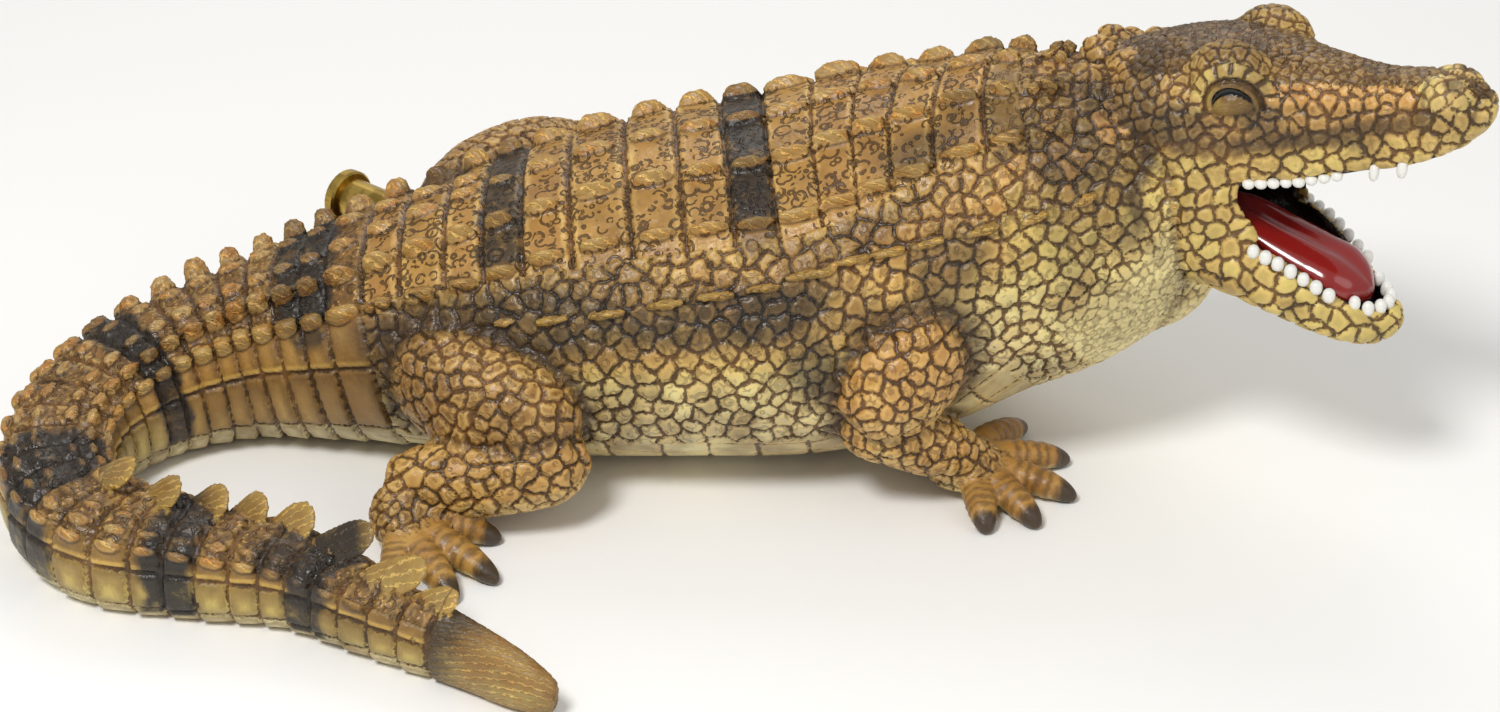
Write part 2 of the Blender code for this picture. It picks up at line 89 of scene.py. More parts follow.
def ringsAlong(centres, sides, ups, sizes, angles):
    # sizes: half width, half height, squareness above and below the middle
    across, rise = np.sin(angles)[None, :], np.cos(angles)[None, :]
    square = np.where(rise >= 0, sizes[:, 2:3], sizes[:, 3:4])
    x = sizes[:, 0:1] * bend(across, square)
    y = sizes[:, 1:2] * bend(rise, square)
    sides, ups = np.broadcast_to(sides, centres.shape), np.broadcast_to(ups, centres.shape)
    return centres[:, None] + x[..., None] * sides[:, None] + y[..., None] * ups[:, None]


# forms: points and faces, each with a kind that later tells how it is carved and painted
kinds = {name: i for i, name in enumerate(
    ("trunk", "skull", "jaw", "brow", "jowl", "throat", "nostril", "lump",
     "thigh", "shank", "foot", "arm", "forearm", "hand", "toe", "keel", "petal"))}
forms = []


def loftForm(rings, kind, along=None, hand=0, keep=True):
    rings = np.asarray(rings, float)
    count, sides = rings.shape[:2]
    points = np.concatenate([rings.reshape(-1, 3), rings[0].mean(0)[None], rings[-1].mean(0)[None]])
    i = np.arange(count - 1)[:, None] * sides
    j = np.arange(sides)[None, :]
    k = (j + 1) % sides
    faces = np.stack([i + j, i + k, i + sides + k, i + sides + j], -1).reshape(-1, 4).tolist()
    first, last, base = count * sides, count * sides + 1, (count - 1) * sides
    faces += [(first, (j + 1) % sides, j) for j in range(sides)]
    faces += [(last, base + j, base + (j + 1) % sides) for j in range(sides)]
    share = np.linspace(0, 1, count) if along is None else np.asarray(along, float)
    value = np.concatenate([np.repeat(share, sides), [share[0], share[-1]]])
    form = {"points": points, "faces": faces, "kind": kinds[kind], "along": value, "hand": hand}
    if keep:
        forms.append(form)
    return form


def linked(name, data):
    made = bpy.data.objects.new(name, data)
    bpy.context.scene.collection.objects.link(made)
    return made


def outwardObject(name, points, faces):
    data = bpy.data.meshes.new(name)
    data.from_pydata(points.tolist(), [], faces)
    mesh = bmesh.new()
    mesh.from_mesh(data)
    bmesh.ops.recalc_face_normals(mesh, faces=mesh.faces[:])
    mesh.to_mesh(data)
    mesh.free()
    return linked(name, data)


def bodyObject(name, parts):
    faces, start = [], 0
    for form in parts:
        faces += [[v + start for v in face] for face in form["faces"]]
        start += len(form["points"])
    return outwardObject(name, np.concatenate([form["points"] for form in parts]) * mm, faces)


def settle(obj):
    # the evaluated mesh takes the place of the modifiers
    graph = bpy.context.evaluated_depsgraph_get()
    data = bpy.data.meshes.new_from_object(obj.evaluated_get(graph))
    obj.modifiers.clear()
    obj.data = data
    return obj


def remeshed(obj, voxel, rounds):
    step = obj.modifiers.new("voxels", "REMESH")
    step.mode, step.voxel_size = "VOXEL", voxel * mm
    step = obj.modifiers.new("soften", "SMOOTH")
    step.factor, step.iterations = 0.5, rounds
    return settle(obj)


# trunk and tail
trunkSizes = {
    # centre x, y, z, half width, half height, squareness, from the tail tip to the nape
    "rows": (
        (-68, -119, 9, 3.5, 7.5, 2.0), (-79, -113, 11, 6.5, 11.5, 2.0), (-98, -100, 13, 8.5, 14.0, 2.1),
        (-138, -74, 15, 12.5, 15.0, 2.8), (-168, -55, 16, 15.5, 16.5, 2.8), (-205, -44, 17, 20.0, 19.0, 2.8),
        (-242, -32, 18, 22.0, 20.5, 2.8), (-263, -8, 19, 22.0, 21.0, 2.7), (-267, 34, 22, 23.5, 23.5, 2.6),
        (-247, 66, 26, 28.5, 27.5, 2.5), (-211, 86, 31, 34.5, 32.5, 2.4), (-172, 90, 38, 45.0, 39.5, 2.3),
        (-130, 89, 47, 58.0, 48.5, 2.2), (-80, 88, 56, 71.0, 58.0, 2.2), (-30, 90, 63, 80.0, 65.5, 2.1),
        (20, 93, 67, 83.0, 69.5, 2.1), (60, 93, 76.5, 79.0, 71.0, 2.1), (95, 86, 91.5, 68.0, 66.5, 2.1),
        (124, 77, 106, 54.0, 64.0, 2.1), (144, 71, 117.5, 43.0, 55.0, 2.0), (160, 67, 130, 34.0, 39.0, 2.0),
        (172, 63, 137, 22.0, 26.0, 2.0)),
    "firstGroove": 51.5, "tailPitch": 12.5, "tailEnd": 405.0, "facingReach": 0.5,
    "bodyGrooves": (419, 435, 453, 468, 483, 501, 522, 541, 560, 579, 605, 630, 651, 672, 695, 712, 730, 745),
}
trunkLength = tableLength(trunkSizes["rows"])
marks = np.concatenate([
    [0.0], np.arange(trunkSizes["firstGroove"], trunkSizes["tailEnd"], trunkSizes["tailPitch"]),
    trunkSizes["bodyGrooves"], [trunkLength + 15]])


def trunkFrame(stations):
    rows = smoothRows(trunkSizes["rows"], stations)
    reach = trunkSizes["facingReach"] * rows[:, 4]
    after = smoothRows(trunkSizes["rows"], np.minimum(stations + reach, trunkLength))
    before = smoothRows(trunkSizes["rows"], np.maximum(stations - reach, 0.0))
    tangent = unit(after[:, :3] - before[:, :3])
    side = unit(np.cross(tangent, zUp))
    return rows, tangent, side, unit(np.cross(side, tangent))


def trunkRings(stations, degrees):
    rows, tangent, side, up = trunkFrame(stations)
    return ringsAlong(rows[:, :3], side, up, rows[:, (3, 4, 5, 5)], np.radians(degrees)), rows, tangent


def onTrunk(at, degrees):
    # a point of the trunk's skin with its outward and forward directions
    rings, rows, tangent = trunkRings(np.array([at]), [degrees - 2, degrees, degrees + 2])
    left, place, right = rings[0]
    outward = unit(np.cross(unit(right - left), tangent[0]))
    if np.dot(outward, place - rows[0, :3]) < 0:
        outward = -outward
    return place, outward, tangent[0]


stations = np.arange(0, trunkLength + 1, 2.5)
loftForm(trunkRings(stations, np.arange(0, 360, 4.0))[0], "trunk", stations)

# head
headSizes = {
    "eyes": (190.0, 58.0), "turn": math.radians(-33),
    # distance ahead of the eyes, height, half width, half height, squareness above and below
    "skull": (
        (-58, 140, 26, 27, 2.0, 2.0), (-38, 146, 35, 31, 2.2, 2.0), (-15, 151.5, 35, 32, 2.5, 2.6),
        (6, 157.5, 29, 27.5, 2.4, 4.0), (30, 161, 22.5, 23, 2.3, 5.0), (50, 165, 17, 19, 2.3, 5.0),
        (68, 170, 14.5, 17.5, 2.3, 4.5), (80, 173.5, 13.5, 14, 2.3, 3.6), (89, 176, 10, 9.5, 2.2, 2.6),
        (94, 178, 5, 5, 2.0, 2.0)),
    "jaw": (
        (-44, 118, 26, 26, 2.0, 2.0), (-18, 107, 31, 23, 2.4, 2.1), (6, 100, 30.5, 17.5, 3.4, 2.2),
        (28, 93, 27, 15, 4.5, 2.2), (46, 85.5, 21.5, 11.5, 4.5, 2.2), (58, 81.5, 15, 8.5, 4.0, 2.2),
        (65, 82, 10, 6.5, 3.0, 2.2), (69, 83, 4, 3.5, 2.2, 2.0)),
    # distance, side offset, height, and three radii
    "brow": (-1, 20, 173.5, 17, 12.5, 16.5), "jowl": (-8, 19, 122, 17.5, 17.5, 28),
    "cheek": (4, 20, 113, 15, 10, 15), "nostril": (77, 6.5, 181.5, 10, 8, 8),
    "throat": (-40, 5, 85, 33, 34, 32),
    "lumps": ((-46, 13, 166, 8, 6, 7), (-60, 20, 160, 8, 6, 7), (-62, 6, 166, 8, 5.5, 7)),
    # distance, height of roof and floor, half width at roof and at floor
    "mouth": (
        (-16, 124, 112, 8, 8), (-4, 130, 104, 18, 18), (8, 138, 103, 23.5, 24), (28, 143.5, 97, 17.5, 20.5),
        (44, 148, 88.5, 13.5, 16.5), (55, 151, 84, 11.5, 11.5), (62, 154, 84, 10.5, 6), (74, 161, 118, 9, 6),
        (83, 167, 148, 6, 4)),
    "mouthSquareness": 5.0,
}
headForward = np.array((math.cos(headSizes["turn"]), math.sin(headSizes["turn"]), 0.0))
headSide = np.array((headForward[1], -headForward[0], 0.0))
eyeLine = np.array((*headSizes["eyes"], 0.0))


def headPoint(distance, offset, height):
    return eyeLine + headForward * distance + headSide * offset + zUp * height


def headRings(rows, count, turns):
    table = [(row[0], 0.0, *row[1:]) for row in rows]
    read = smoothRows(table, np.linspace(0, tableLength(table), count))
    centres = eyeLine + read[:, 0:1] * headForward + read[:, 2:3] * zUp
    return ringsAlong(centres, headSide, zUp, read[:, 3:], turns), read[:, 0]


def headMass(mass, kind, hand=1, sides=28, tiers=20):
    distance, offset, height, long, wide, high = mass
    turns = np.linspace(0, math.pi, tiers + 2)[1:-1]
    centres = headPoint(distance, offset * hand, height) - headForward * (long * np.cos(turns))[:, None]
    sizes = np.stack([wide * np.sin(turns), high * np.sin(turns), 2 + 0 * turns, 2 + 0 * turns], -1)
    loftForm(ringsAlong(centres, headSide, zUp, sizes, circle(sides)), kind, hand=hand)


def mouthForm():
    # rounded tapering box, read smoothly between its sections
    table = [(row[0], 0.0, 0.0, *row[1:]) for row in headSizes["mouth"]]
    read = smoothRows(table, np.linspace(0, tableLength(table), 60))
    turns, square, rings = circle(32), headSizes["mouthSquareness"], []
    for t, _, _, roof, floor, roofHalf, floorHalf in read:
        high, half = (roof + floor) / 2, (roof - floor) / 2
        z = high + half * bend(np.cos(turns), square)
        share = (z - floor) / (2 * half)
        wide = floorHalf + (roofHalf - floorHalf) * share
        across = headSide * (wide * bend(np.sin(turns), square))[:, None]
        rings.append(headPoint(t, 0, 0) + across + zUp * z[:, None])
    return loftForm(rings, "jaw", keep=False)


for name, count, sides in (("skull", 90, 64), ("jaw", 70, 56)):
    rings, reach = headRings(headSizes[name], count, circle(sides, 0.5))
    loftForm(rings, name, reach)
headMass(headSizes["throat"], "throat", 1, 40, 30)
for hand in (1, -1):
    for name, kind in (("brow", "brow"), ("jowl", "jowl"), ("cheek", "jowl"), ("nostril", "nostril")):
        headMass(headSizes[name], kind, hand)
    for lump in headSizes["lumps"]:
        headMass(lump, "lump", hand)

# legs
legSizes = {
    # x, y, z, half width, half height for the upper limb, the lower limb and the foot
    "hind": (
        ((-134, 70, 50, 20, 24), (-116, 38, 50, 24, 26), (-94, 19, 46, 23, 25), (-76, 13, 41, 17, 19),
         (-67, 11, 38, 8, 9)),
        ((-64, 11, 34, 7, 8), (-74, 8, 30, 15, 16), (-90, 5, 27, 16, 17), (-108, 3, 24, 14.5, 15.5),
         (-128, 3, 23, 12.5, 13.5), (-140, 3, 23, 8, 8)),
        ((-140, 3, 16, 7, 9), (-136, -4, 13, 12, 12), (-127, -12, 9, 14, 9), (-117, -20, 7, 10, 5))),
    "hindToes": (((-126, -5, 10), (-96, -7)), ((-124, -14, 10), (-95, -36)), ((-128, -20, 9), (-110, -49)),
                 ((-134, -20, 8), (-134, -44))),
    "fore": (
        ((78, 56, 76, 20, 26), (62, 26, 64, 21, 25), (48, 14, 52, 17, 20), (39, 9, 45, 8, 10)),
        ((37, 18, 44, 7, 8), (44, 20, 40, 13, 13.5), (58, 21, 33, 13, 13), (74, 26, 24, 12, 12.5),
         (87, 32, 16, 9, 9)),
        ((74, 27, 15, 10, 9), (84, 33, 12, 17, 10.5), (97, 38.5, 8, 17, 7.5), (106, 40, 6, 10, 4.5))),
    "foreToes": (((92, 50, 10), (113, 77)), ((99, 43, 9), (129, 51)), ((100, 32, 9), (129, 22.5)),
                 ((96, 25, 9), (112.5, 2)), ((89, 22, 8), (92, -2))),
    "kinds": {"hind": ("thigh", "shank", "foot"), "fore": ("arm", "forearm", "hand")}, "squareness": 2.1,
    # spine point and heading that the far legs mirror about, how far ahead, spread, lift
    "far": {"hind": (-100, 89, 0.0, 11.0, 1.18, 24.0), "fore": (62, 93, math.radians(-9), -34.0, 1.0, 0.0)},
    # shares of a toe's length with its half widths and its rise, then the height of its tip
    "toeWidths": ((-0.25, 0.1, 0.3, 0.5, 0.68, 0.74, 0.82, 0.92, 0.97, 1.0),
                  (4.8, 6.2, 6.3, 6.0, 5.4, 4.9, 4.5, 3.4, 2.3, 1.2)),
    "toeRise": ((-0.25, 0.3, 0.74, 1.0), (0, 1.0, 1.0, -0.4)), "tipHeight": 2.6,
    "knuckle": 0.35, "knucklePitch": 0.155,
}


def mirrored(point, rule):
    x, y, heading, ahead, spread, lift = rule
    along = np.array((math.cos(heading), math.sin(heading)))
    across = np.array((-along[1], along[0]))
    offset = np.array((point[0] - x, point[1] - y))
    upper = min(max((point[2] - 20) / 20, 0), 1)
    wider = 1 + (spread - 1) * upper
    moved = np.array((x, y)) + along * (offset @ along + ahead) - across * (offset @ across) * wider
    return (moved[0], moved[1], point[2] + lift * upper)


def limbForm(rows, kind, hand):
    table = [(*row, legSizes["squareness"]) for row in rows]
    length = tableLength(table)
    at = np.linspace(0, length, 26)
    read, after, before = (smoothRows(table, np.clip(at + shift, 0, length)) for shift in (0, 0.5, -0.5))
    side = unit(np.cross(unit(after[:, :3] - before[:, :3]), zUp))
    up = unit(np.cross(side, unit(after[:, :3] - before[:, :3])))
    loftForm(ringsAlong(read[:, :3], side, up, read[:, (3, 4, 5, 5)], circle(36)), kind, hand=hand)


def toeForm(base, tip, hand):
    # knuckled toe that narrows into a blunt claw
    start, end = np.array(base, float), np.array((tip[0], tip[1], legSizes["tipHeight"]))
    facing = unit(end - start)
    side = unit(np.cross(facing, zUp))
    up = unit(np.cross(side, facing))
    share = np.linspace(-0.25, 1.0, 40)
    width = np.interp(share, *legSizes["toeWidths"])
    knuckles = legSizes["knuckle"] * np.sin((share - 0.1) * math.tau / legSizes["knucklePitch"])
    width += knuckles * softStep(share, 0.0, 0.1) * fade(share, 0.62, 0.72)
    centres = start + (end - start) * share[:, None] + zUp * np.interp(share, *legSizes["toeRise"])[:, None]
    sizes = np.stack([width, width * 0.95, 2.2 + 0 * width, 2.2 + 0 * width], -1)
    loftForm(ringsAlong(centres, side, up, sizes, circle(24)), "toe", share, hand)


def legForms(name, hand):
    limbs, toes = legSizes[name], legSizes[name + "Toes"]
    if hand < 0:
        rule = legSizes["far"][name]
        limbs = [[(*mirrored(row[:3], rule), *row[3:]) for row in limb] for limb in limbs]
        toes = [(mirrored(base, rule), mirrored((*tip, 0), rule)[:2]) for base, tip in toes]
    for limb, kind in zip(limbs, legSizes["kinds"][name]):
        limbForm(limb, kind, hand)
    for base, tip in toes:
        toeForm(base, tip, hand)


for hand in (1, -1):
    legForms("hind", hand)
    legForms("fore", hand)
print("forms lofted", len(forms))


# things that repeat, set on points by Geometry Nodes
def scatterTree(name):
    tree = bpy.data.node_groups.new(name, "GeometryNodeTree")
    for title, kind in (("Points", "Geometry"), ("Shape", "Object"), ("Finish", "Material"),
                        ("Least size", "Float"), ("Most size", "Float"), ("Seed", "Int")):
        tree.interface.new_socket(title, in_out="INPUT", socket_type="NodeSocket" + kind)
    tree.interface.new_socket("Geometry", in_out="OUTPUT", socket_type="NodeSocketGeometry")
    given, result, shape, place, real, finish, vary, grow, turn, span = (tree.nodes.new(kind) for kind in (
        "NodeGroupInput", "NodeGroupOutput", "GeometryNodeObjectInfo", "GeometryNodeInstanceOnPoints",
        "GeometryNodeRealizeInstances", "GeometryNodeSetMaterial", "FunctionNodeRandomValue",
        "ShaderNodeVectorMath", "GeometryNodeInputNamedAttribute", "GeometryNodeInputNamedAttribute"))
    vary.data_type, grow.operation = "FLOAT", "SCALE"
    for node, title in ((turn, "turn"), (span, "span")):
        node.data_type = "FLOAT_VECTOR"
        node.inputs["Name"].default_value = title
    for source, out, target, into in (
            (given, "Points", place, "Points"), (given, "Shape", shape, "Object"),
            (shape, "Geometry", place, "Instance"), (turn, "Attribute", place, "Rotation"),
            (given, "Least size", vary, 2), (given, "Most size", vary, 3), (given, "Seed", vary, "Seed"),
            (span, "Attribute", grow, 0), (vary, 1, grow, "Scale"), (grow, "Vector", place, "Scale"),
            (place, "Instances", real, "Geometry"), (real, "Geometry", finish, "Geometry"),
            (given, "Finish", finish, "Material"), (finish, "Geometry", result, "Geometry")):
        tree.links.new(source.outputs[out], target.inputs[into])
    return tree


setOnPoints = scatterTree("setOnPoints")


def scattered(name, spots, shape, finish, least, most, seed):
    # spots: place, three directions and three sizes
    data = bpy.data.meshes.new(name)
    data.from_pydata([tuple(spot[0]) for spot in spots], [], [])
    turns, spans = [], []
    for place, x, y, z, size in spots:
        turns += Matrix((x, y, z)).transposed().to_euler()[:]
        spans += size
    for title, values in (("turn", turns), ("span", spans)):
        data.attributes.new(title, "FLOAT_VECTOR", "POINT").data.foreach_set("vector", values)
    made = linked(name, data)
    step = made.modifiers.new("setOnPoints", "NODES")
    step.node_group = setOnPoints
    values = {"Shape": shape, "Finish": finish, "Least size": least, "Most size": most, "Seed": seed}
    for item in setOnPoints.interface.items_tree:
        if item.in_out == "INPUT" and item.name in values:
            step[item.identifier] = values[item.name]
    made.update_tag()
    return settle(made)


def shapeObject(name, rings):
    form = loftForm(rings, "trunk", keep=False)
    return outwardObject(name, form["points"], form["faces"])


def profileShape(name, rows, sides):
    # rows: level along z and the reaches across and through
    x, y = np.cos(circle(sides)), np.sin(circle(sides))
    rings = [np.stack([wide * x, thick * y, level + 0 * x], -1) for level, wide, thick in rows]
    return shapeObject(name, rings)


def keelShape(tiers=12, sides=20):
    # unit mound with a ridge along its top and pointed ends
    across, up = np.cos(circle(sides)), np.sin(circle(sides))
    rise = np.where(up >= 0, 1 - np.abs(across) ** 1.5, -0.5 * np.sqrt(np.maximum(1 - across**2, 0)))
    rings = []
    for turn in np.linspace(0, math.pi, tiers + 2)[1:-1]:
        reach = math.sin(turn)
        rings.append(np.stack([0 * rise - math.cos(turn), reach**0.9 * across, reach**0.8 * rise], -1))
    return shapeObject("keelShape", rings)


# keels and leaves of the crest
crestSizes = {
    # rows of keels: degrees off the top and height, read against the length along the spine
    "lengths": (0, 60, 120, 230, 300, 345, 400, 460, 500, 600, 625, 700, 860),
    "rows": (
        ((11, 11, 11, 11, 11, 11, 11, 4, 0, 0, 0, 0, 0),
         (0, 0, 0.8, 1.6, 2.6, 3.4, 3.6, 3.8, 4.2, 4.4, 4.4, 4.6, 4.8)),
        ((32, 32, 32, 32, 32, 32, 32, 26, 21, 21, 21, 22, 24),
         (0, 0, 1.4, 2.6, 4.0, 8.4, 8.4, 7.2, 6.2, 5.8, 5.8, 6.0, 6.2)),
        ((54, 54, 54, 52, 52, 52, 52, 48, 41, 42, 43, 45, 46),
         (0, 0, 2.0, 2.8, 3.8, 5.4, 5.8, 5.6, 5.6, 5.4, 5.4, 5.4, 5.0)),
        ((64, 64, 64, 64, 64, 64, 64, 64, 66, 60, 62, 76, 76),
         (0, 0, 0, 0, 0, 0, 0, 0, 4.6, 4.6, 4.4, 3.6, 0))),
    # half widths along the spine, share of the pitch, and what is left out, sunk and narrowed
    "widths": ((60, 300, 345, 430, 520), (2.6, 3.4, 4.4, 3.7, 3.1)), "share": 0.4,
    "napeGap": 20, "least": 0.6, "sunk": 0.5, "flankFrom": 60, "flankWidth": 0.68,
    # root x, y, z, tip x, y, z and half width of the leaves, from the curl to the tip of the tail
    "leaves": (
        (-245, -19, 38, -228, -32, 50, 7.5), (-227, -30, 34, -210, -38, 46, 7.5),
        (-210, -35, 31, -193, -39, 43, 7.5), (-193, -38, 29, -178, -41, 42, 7.5),
        (-179, -46, 28, -160, -47, 41, 8.0), (-164, -58, 28, -137, -62, 42, 7.8),
        (-145, -75, 26, -116, -81, 39, 7.8), (-126, -87, 24, -103, -92, 34, 6.8),
        (-125, -89, 24, -110, -96, 18, 5.6), (-148, -69, 26, -128, -87, 27, 3.2)),
    "leafThick": 2.0, "leafFacing": np.array((0.0, -0.55, 0.83)),
    "leafProfile": ((-0.15, 0.62, 1.1), (0.1, 0.74, 1.05), (0.3, 0.88, 0.95), (0.5, 0.98, 0.85),
                    (0.68, 1.0, 0.75), (0.82, 0.9, 0.65), (0.92, 0.7, 0.52), (0.98, 0.42, 0.36),
                    (1.0, 0.15, 0.15)),
}


def keelSpots():
    spots = []
    for at, after in zip(marks[1:-1], marks[2:]):
        place = (at + after) / 2
        wide = float(np.interp(place, *crestSizes["widths"]))
        for row in crestSizes["rows"]:
            degrees, rise = (float(np.interp(place, crestSizes["lengths"], values)) for values in row)
            if rise < crestSizes["least"] or place > trunkLength - crestSizes["napeGap"]:
                continue
            half = wide * (crestSizes["flankWidth"] if degrees > crestSizes["flankFrom"] else 1.0)
            for hand in (1, -1) if degrees > 3 else (1,):
                point, outward, ahead = onTrunk(place, degrees * hand)
                size = (crestSizes["share"] * (after - at), half, rise + crestSizes["sunk"])
                spots.append((point, ahead, unit(np.cross(outward, ahead)), outward, size))
    return spots


def leafSpots():
    spots = []
    for leaf in crestSizes["leaves"]:
        base, tip = np.array(leaf[:3], float), np.array(leaf[3:6], float)
        rise = unit(tip - base)
        thin = unit(crestSizes["leafFacing"] - rise * (crestSizes["leafFacing"] @ rise))
        size = (leaf[6], crestSizes["leafThick"], float(np.linalg.norm(tip - base)))
        spots.append((base, np.cross(thin, rise), thin, rise, size))
    return spots


def takeForm(obj, kind, copies):
    # realised points join the other forms, each with the number of its copy
    count = len(obj.data.vertices)
    points = np.empty(count * 3)
    obj.data.vertices.foreach_get("co", points)
    faces = [list(face.vertices) for face in obj.data.polygons]
    forms.append({"points": points.reshape(-1, 3), "faces": faces, "kind": kinds[kind],
                  "along": np.arange(count) // (count // copies), "hand": 0})
    bpy.data.objects.remove(obj, do_unlink=True)


blank = bpy.data.materials.new("blank")
keel, leaf = keelShape(), profileShape("leafShape", crestSizes["leafProfile"], 20)
keelList, leafList = keelSpots(), leafSpots()
takeForm(scattered("keels", keelList, keel, blank, 0.93, 1.07, 5), "keel", len(keelList))
takeForm(scattered("leaves", leafList, leaf, blank, 0.97, 1.03, 8), "petal", len(leafList))
print("keels and leaves set")

# one casting: the masses are fused and softened, the mouth is cut, then toes, keels and leaves are fused on
castSizes = {"firstVoxel": 2.0, "firstRounds": 7, "voxel": 0.97, "rounds": 2, "quickVoxel": 1.4}
late = (kinds["toe"], kinds["keel"], kinds["petal"])
body = bodyObject("casting", [f for f in forms if f["kind"] not in late])
remeshed(body, castSizes["firstVoxel"], castSizes["firstRounds"])
mouthCutter = bodyObject("mouthCutter", [mouthForm()])
step = body.modifiers.new("mouth", "BOOLEAN")
step.operation, step.solver, step.object = "DIFFERENCE", "EXACT", mouthCutter
settle(body)
extra = bodyObject("extra", [f for f in forms if f["kind"] in late])
merged = bmesh.new()
merged.from_mesh(body.data)
merged.from_mesh(extra.data)
merged.to_mesh(body.data)
merged.free()
for used in (mouthCutter, extra, keel, leaf):
    bpy.data.objects.remove(used, do_unlink=True)
remeshed(body, castSizes["voxel"], castSizes["rounds"])
print("casting remeshed", len(body.data.vertices))


# where each point of the casting lies
def pointTree(points):
    tree = KDTree(len(points))
    for i, point in enumerate(points.tolist()):
        tree.insert(point, i)
    tree.balance()
    return tree


def nearest(tree, points):
    find = tree.find
    found = np.array([find(point)[1:] for point in points.tolist()])
    return found[:, 0].astype(int), found[:, 1]


points, normals = np.empty(len(body.data.vertices) * 3), np.empty(len(body.data.vertices) * 3)
body.data.vertices.foreach_get("co", points)
body.data.vertex_normals.foreach_get("vector", normals)
points, normals = points.reshape(-1, 3) / mm, normals.reshape(-1, 3)
near, _ = nearest(pointTree(np.concatenate([form["points"] for form in forms])), points)
kind, handed, share = (
    np.concatenate([np.broadcast_to(form[title], len(form["points"])) for form in forms])[near]
    for title in ("kind", "hand", "along"))


def isKind(*names):
    return np.isin(kind, [kinds[name] for name in names])


def byKind(pairs):
    return [(isKind(*names), value) for names, value in pairs]


def covered(values, *rules):
    # each rule covers the ones before it
    for where, value in rules:
        values = np.where(where, value, values)
    return values


def layers(*rules):
    return covered(np.zeros(len(points)), *rules)


def dot(a, b):
    return np.einsum("ij,ij->i", a, b)


onLimb = isKind("thigh", "shank", "foot", "arm", "forearm", "hand", "toe")
onHead = isKind("skull", "jaw", "brow", "jowl", "throat", "nostril", "lump")
ofTrunk = isKind("trunk", "keel", "petal")
onToe, onLeaf, onSkull, onNostril = (isKind(name) for name in ("toe", "petal", "skull", "nostril"))

# length along the spine and angle from the top of the back, for every point
fine = np.arange(0, trunkLength + 0.5, 1.0)
spineRows, spineTangent, spineSide, spineUp = trunkFrame(fine)
ringNear, trunkGap = nearest(pointTree(forms[0]["points"]), points)
along = forms[0]["along"][ringNear]
for _ in range(2):
    spot = np.clip(np.round(along).astype(int), 0, len(fine) - 1)
    along = np.clip(along + 0.8 * dot(points - spineRows[spot, :3], spineTangent[spot]), 0, trunkLength)
spot = np.clip(np.round(along).astype(int), 0, len(fine) - 1)
fromSpine = points - spineRows[spot, :3]
halfWide, halfHigh, square = spineRows[spot, 3], spineRows[spot, 4], spineRows[spot, 5]
acrossShare = dot(fromSpine, spineSide[spot]) / halfWide
riseShare = dot(fromSpine, spineUp[spot]) / halfHigh
swell = (np.abs(acrossShare) ** square + np.abs(riseShare) ** square) ** (1 / square)
around = np.degrees(np.arctan2(np.sign(acrossShare) * np.abs(acrossShare) ** (square / 2),
                               np.sign(riseShare) * np.abs(riseShare) ** (square / 2)))
lean = np.abs(around)
proud = (swell - 1) / np.maximum(swell, 0.2) * np.linalg.norm(fromSpine, axis=1)
turned = np.radians(around)
perDegree = np.radians(1) * np.hypot(halfWide * np.cos(turned), halfHigh * np.sin(turned))
arc = turned * (halfWide + halfHigh) / 2

# place in the head's own frame; height stays a view of the points, so it follows the carving
fromEyes = points - eyeLine
ahead, aside, height = fromEyes @ headForward, np.abs(fromEyes @ headSide), points[:, 2]

# distance to the limbs, for the dark creases between them and the trunk
limbs = [f["points"] for f in forms if kinds["thigh"] <= f["kind"] <= kinds["hand"]]
_, limbGap = nearest(pointTree(np.concatenate(limbs)), points)
print("points sorted", len(points))

# carving
carving = {
    # distances from a groove's middle where its floor ends and its bank starts, and depths
    "ringGroove": (0.6, 1.3), "ringDepth": 1.8, "plateDepth": 1.5, "bellyDepth": 0.7,
    "scaleGroove": (0.35, 1.1), "scaleDepth": 1.1, "scaleDome": 0.4,
    "strokeDepth": 0.34, "creaseDepth": 1.2, "curlDepth": 0.3, "pitDepth": 2.4,
    # lengths along the spine and degrees off the top where one skin gives way to the next
    "shieldEdge": 48.0, "bellyEdge": 121.0, "bellyTo": 668, "chestFrom": 692, "napeAt": 712.0,
    "tailPlatesTo": 419.0, "paddleTo": 50.0, "plateEdges": (46.0, 80.0, 114.0), "bellyScute": 15.0,
    # distance ahead of the eyes with the height of the lip and of the row of scales under the snout's edge
    "lip": ((3, 18, 32, 55, 66, 76, 86, 94), (132, 138, 141, 150, 153, 161, 166.5, 176)),
    "sideRow": ((14, 30, 44, 62, 72), (174, 176.5, 177.5, 181, 183)), "pit": (79.5, 8.0),
    # wanted distance between the middles of the scales, 8 on the kinds not named
    "spacings": ((("thigh",), 8.6), (("forearm", "jowl"), 7.0), (("foot", "hand"), 5.4), (("jaw",), 7.8),
                 (("brow",), 5.0), (("nostril",), 5.2), (("lump",), 6.0)),
    "chestSpacing": ((0, 60, 98, 125, 180), (7.5, 7.5, 7.2, 4.0, 3.8)),
    "darts": 120000, "dartSpread": (0.62, 1.06),
}
index = np.clip(np.searchsorted(marks, along, side="right") - 1, 0, len(marks) - 2)
pitch = marks[index + 1] - marks[index]
within = (along - marks[index]) / pitch
ringGap = np.minimum(within, 1 - within) * pitch

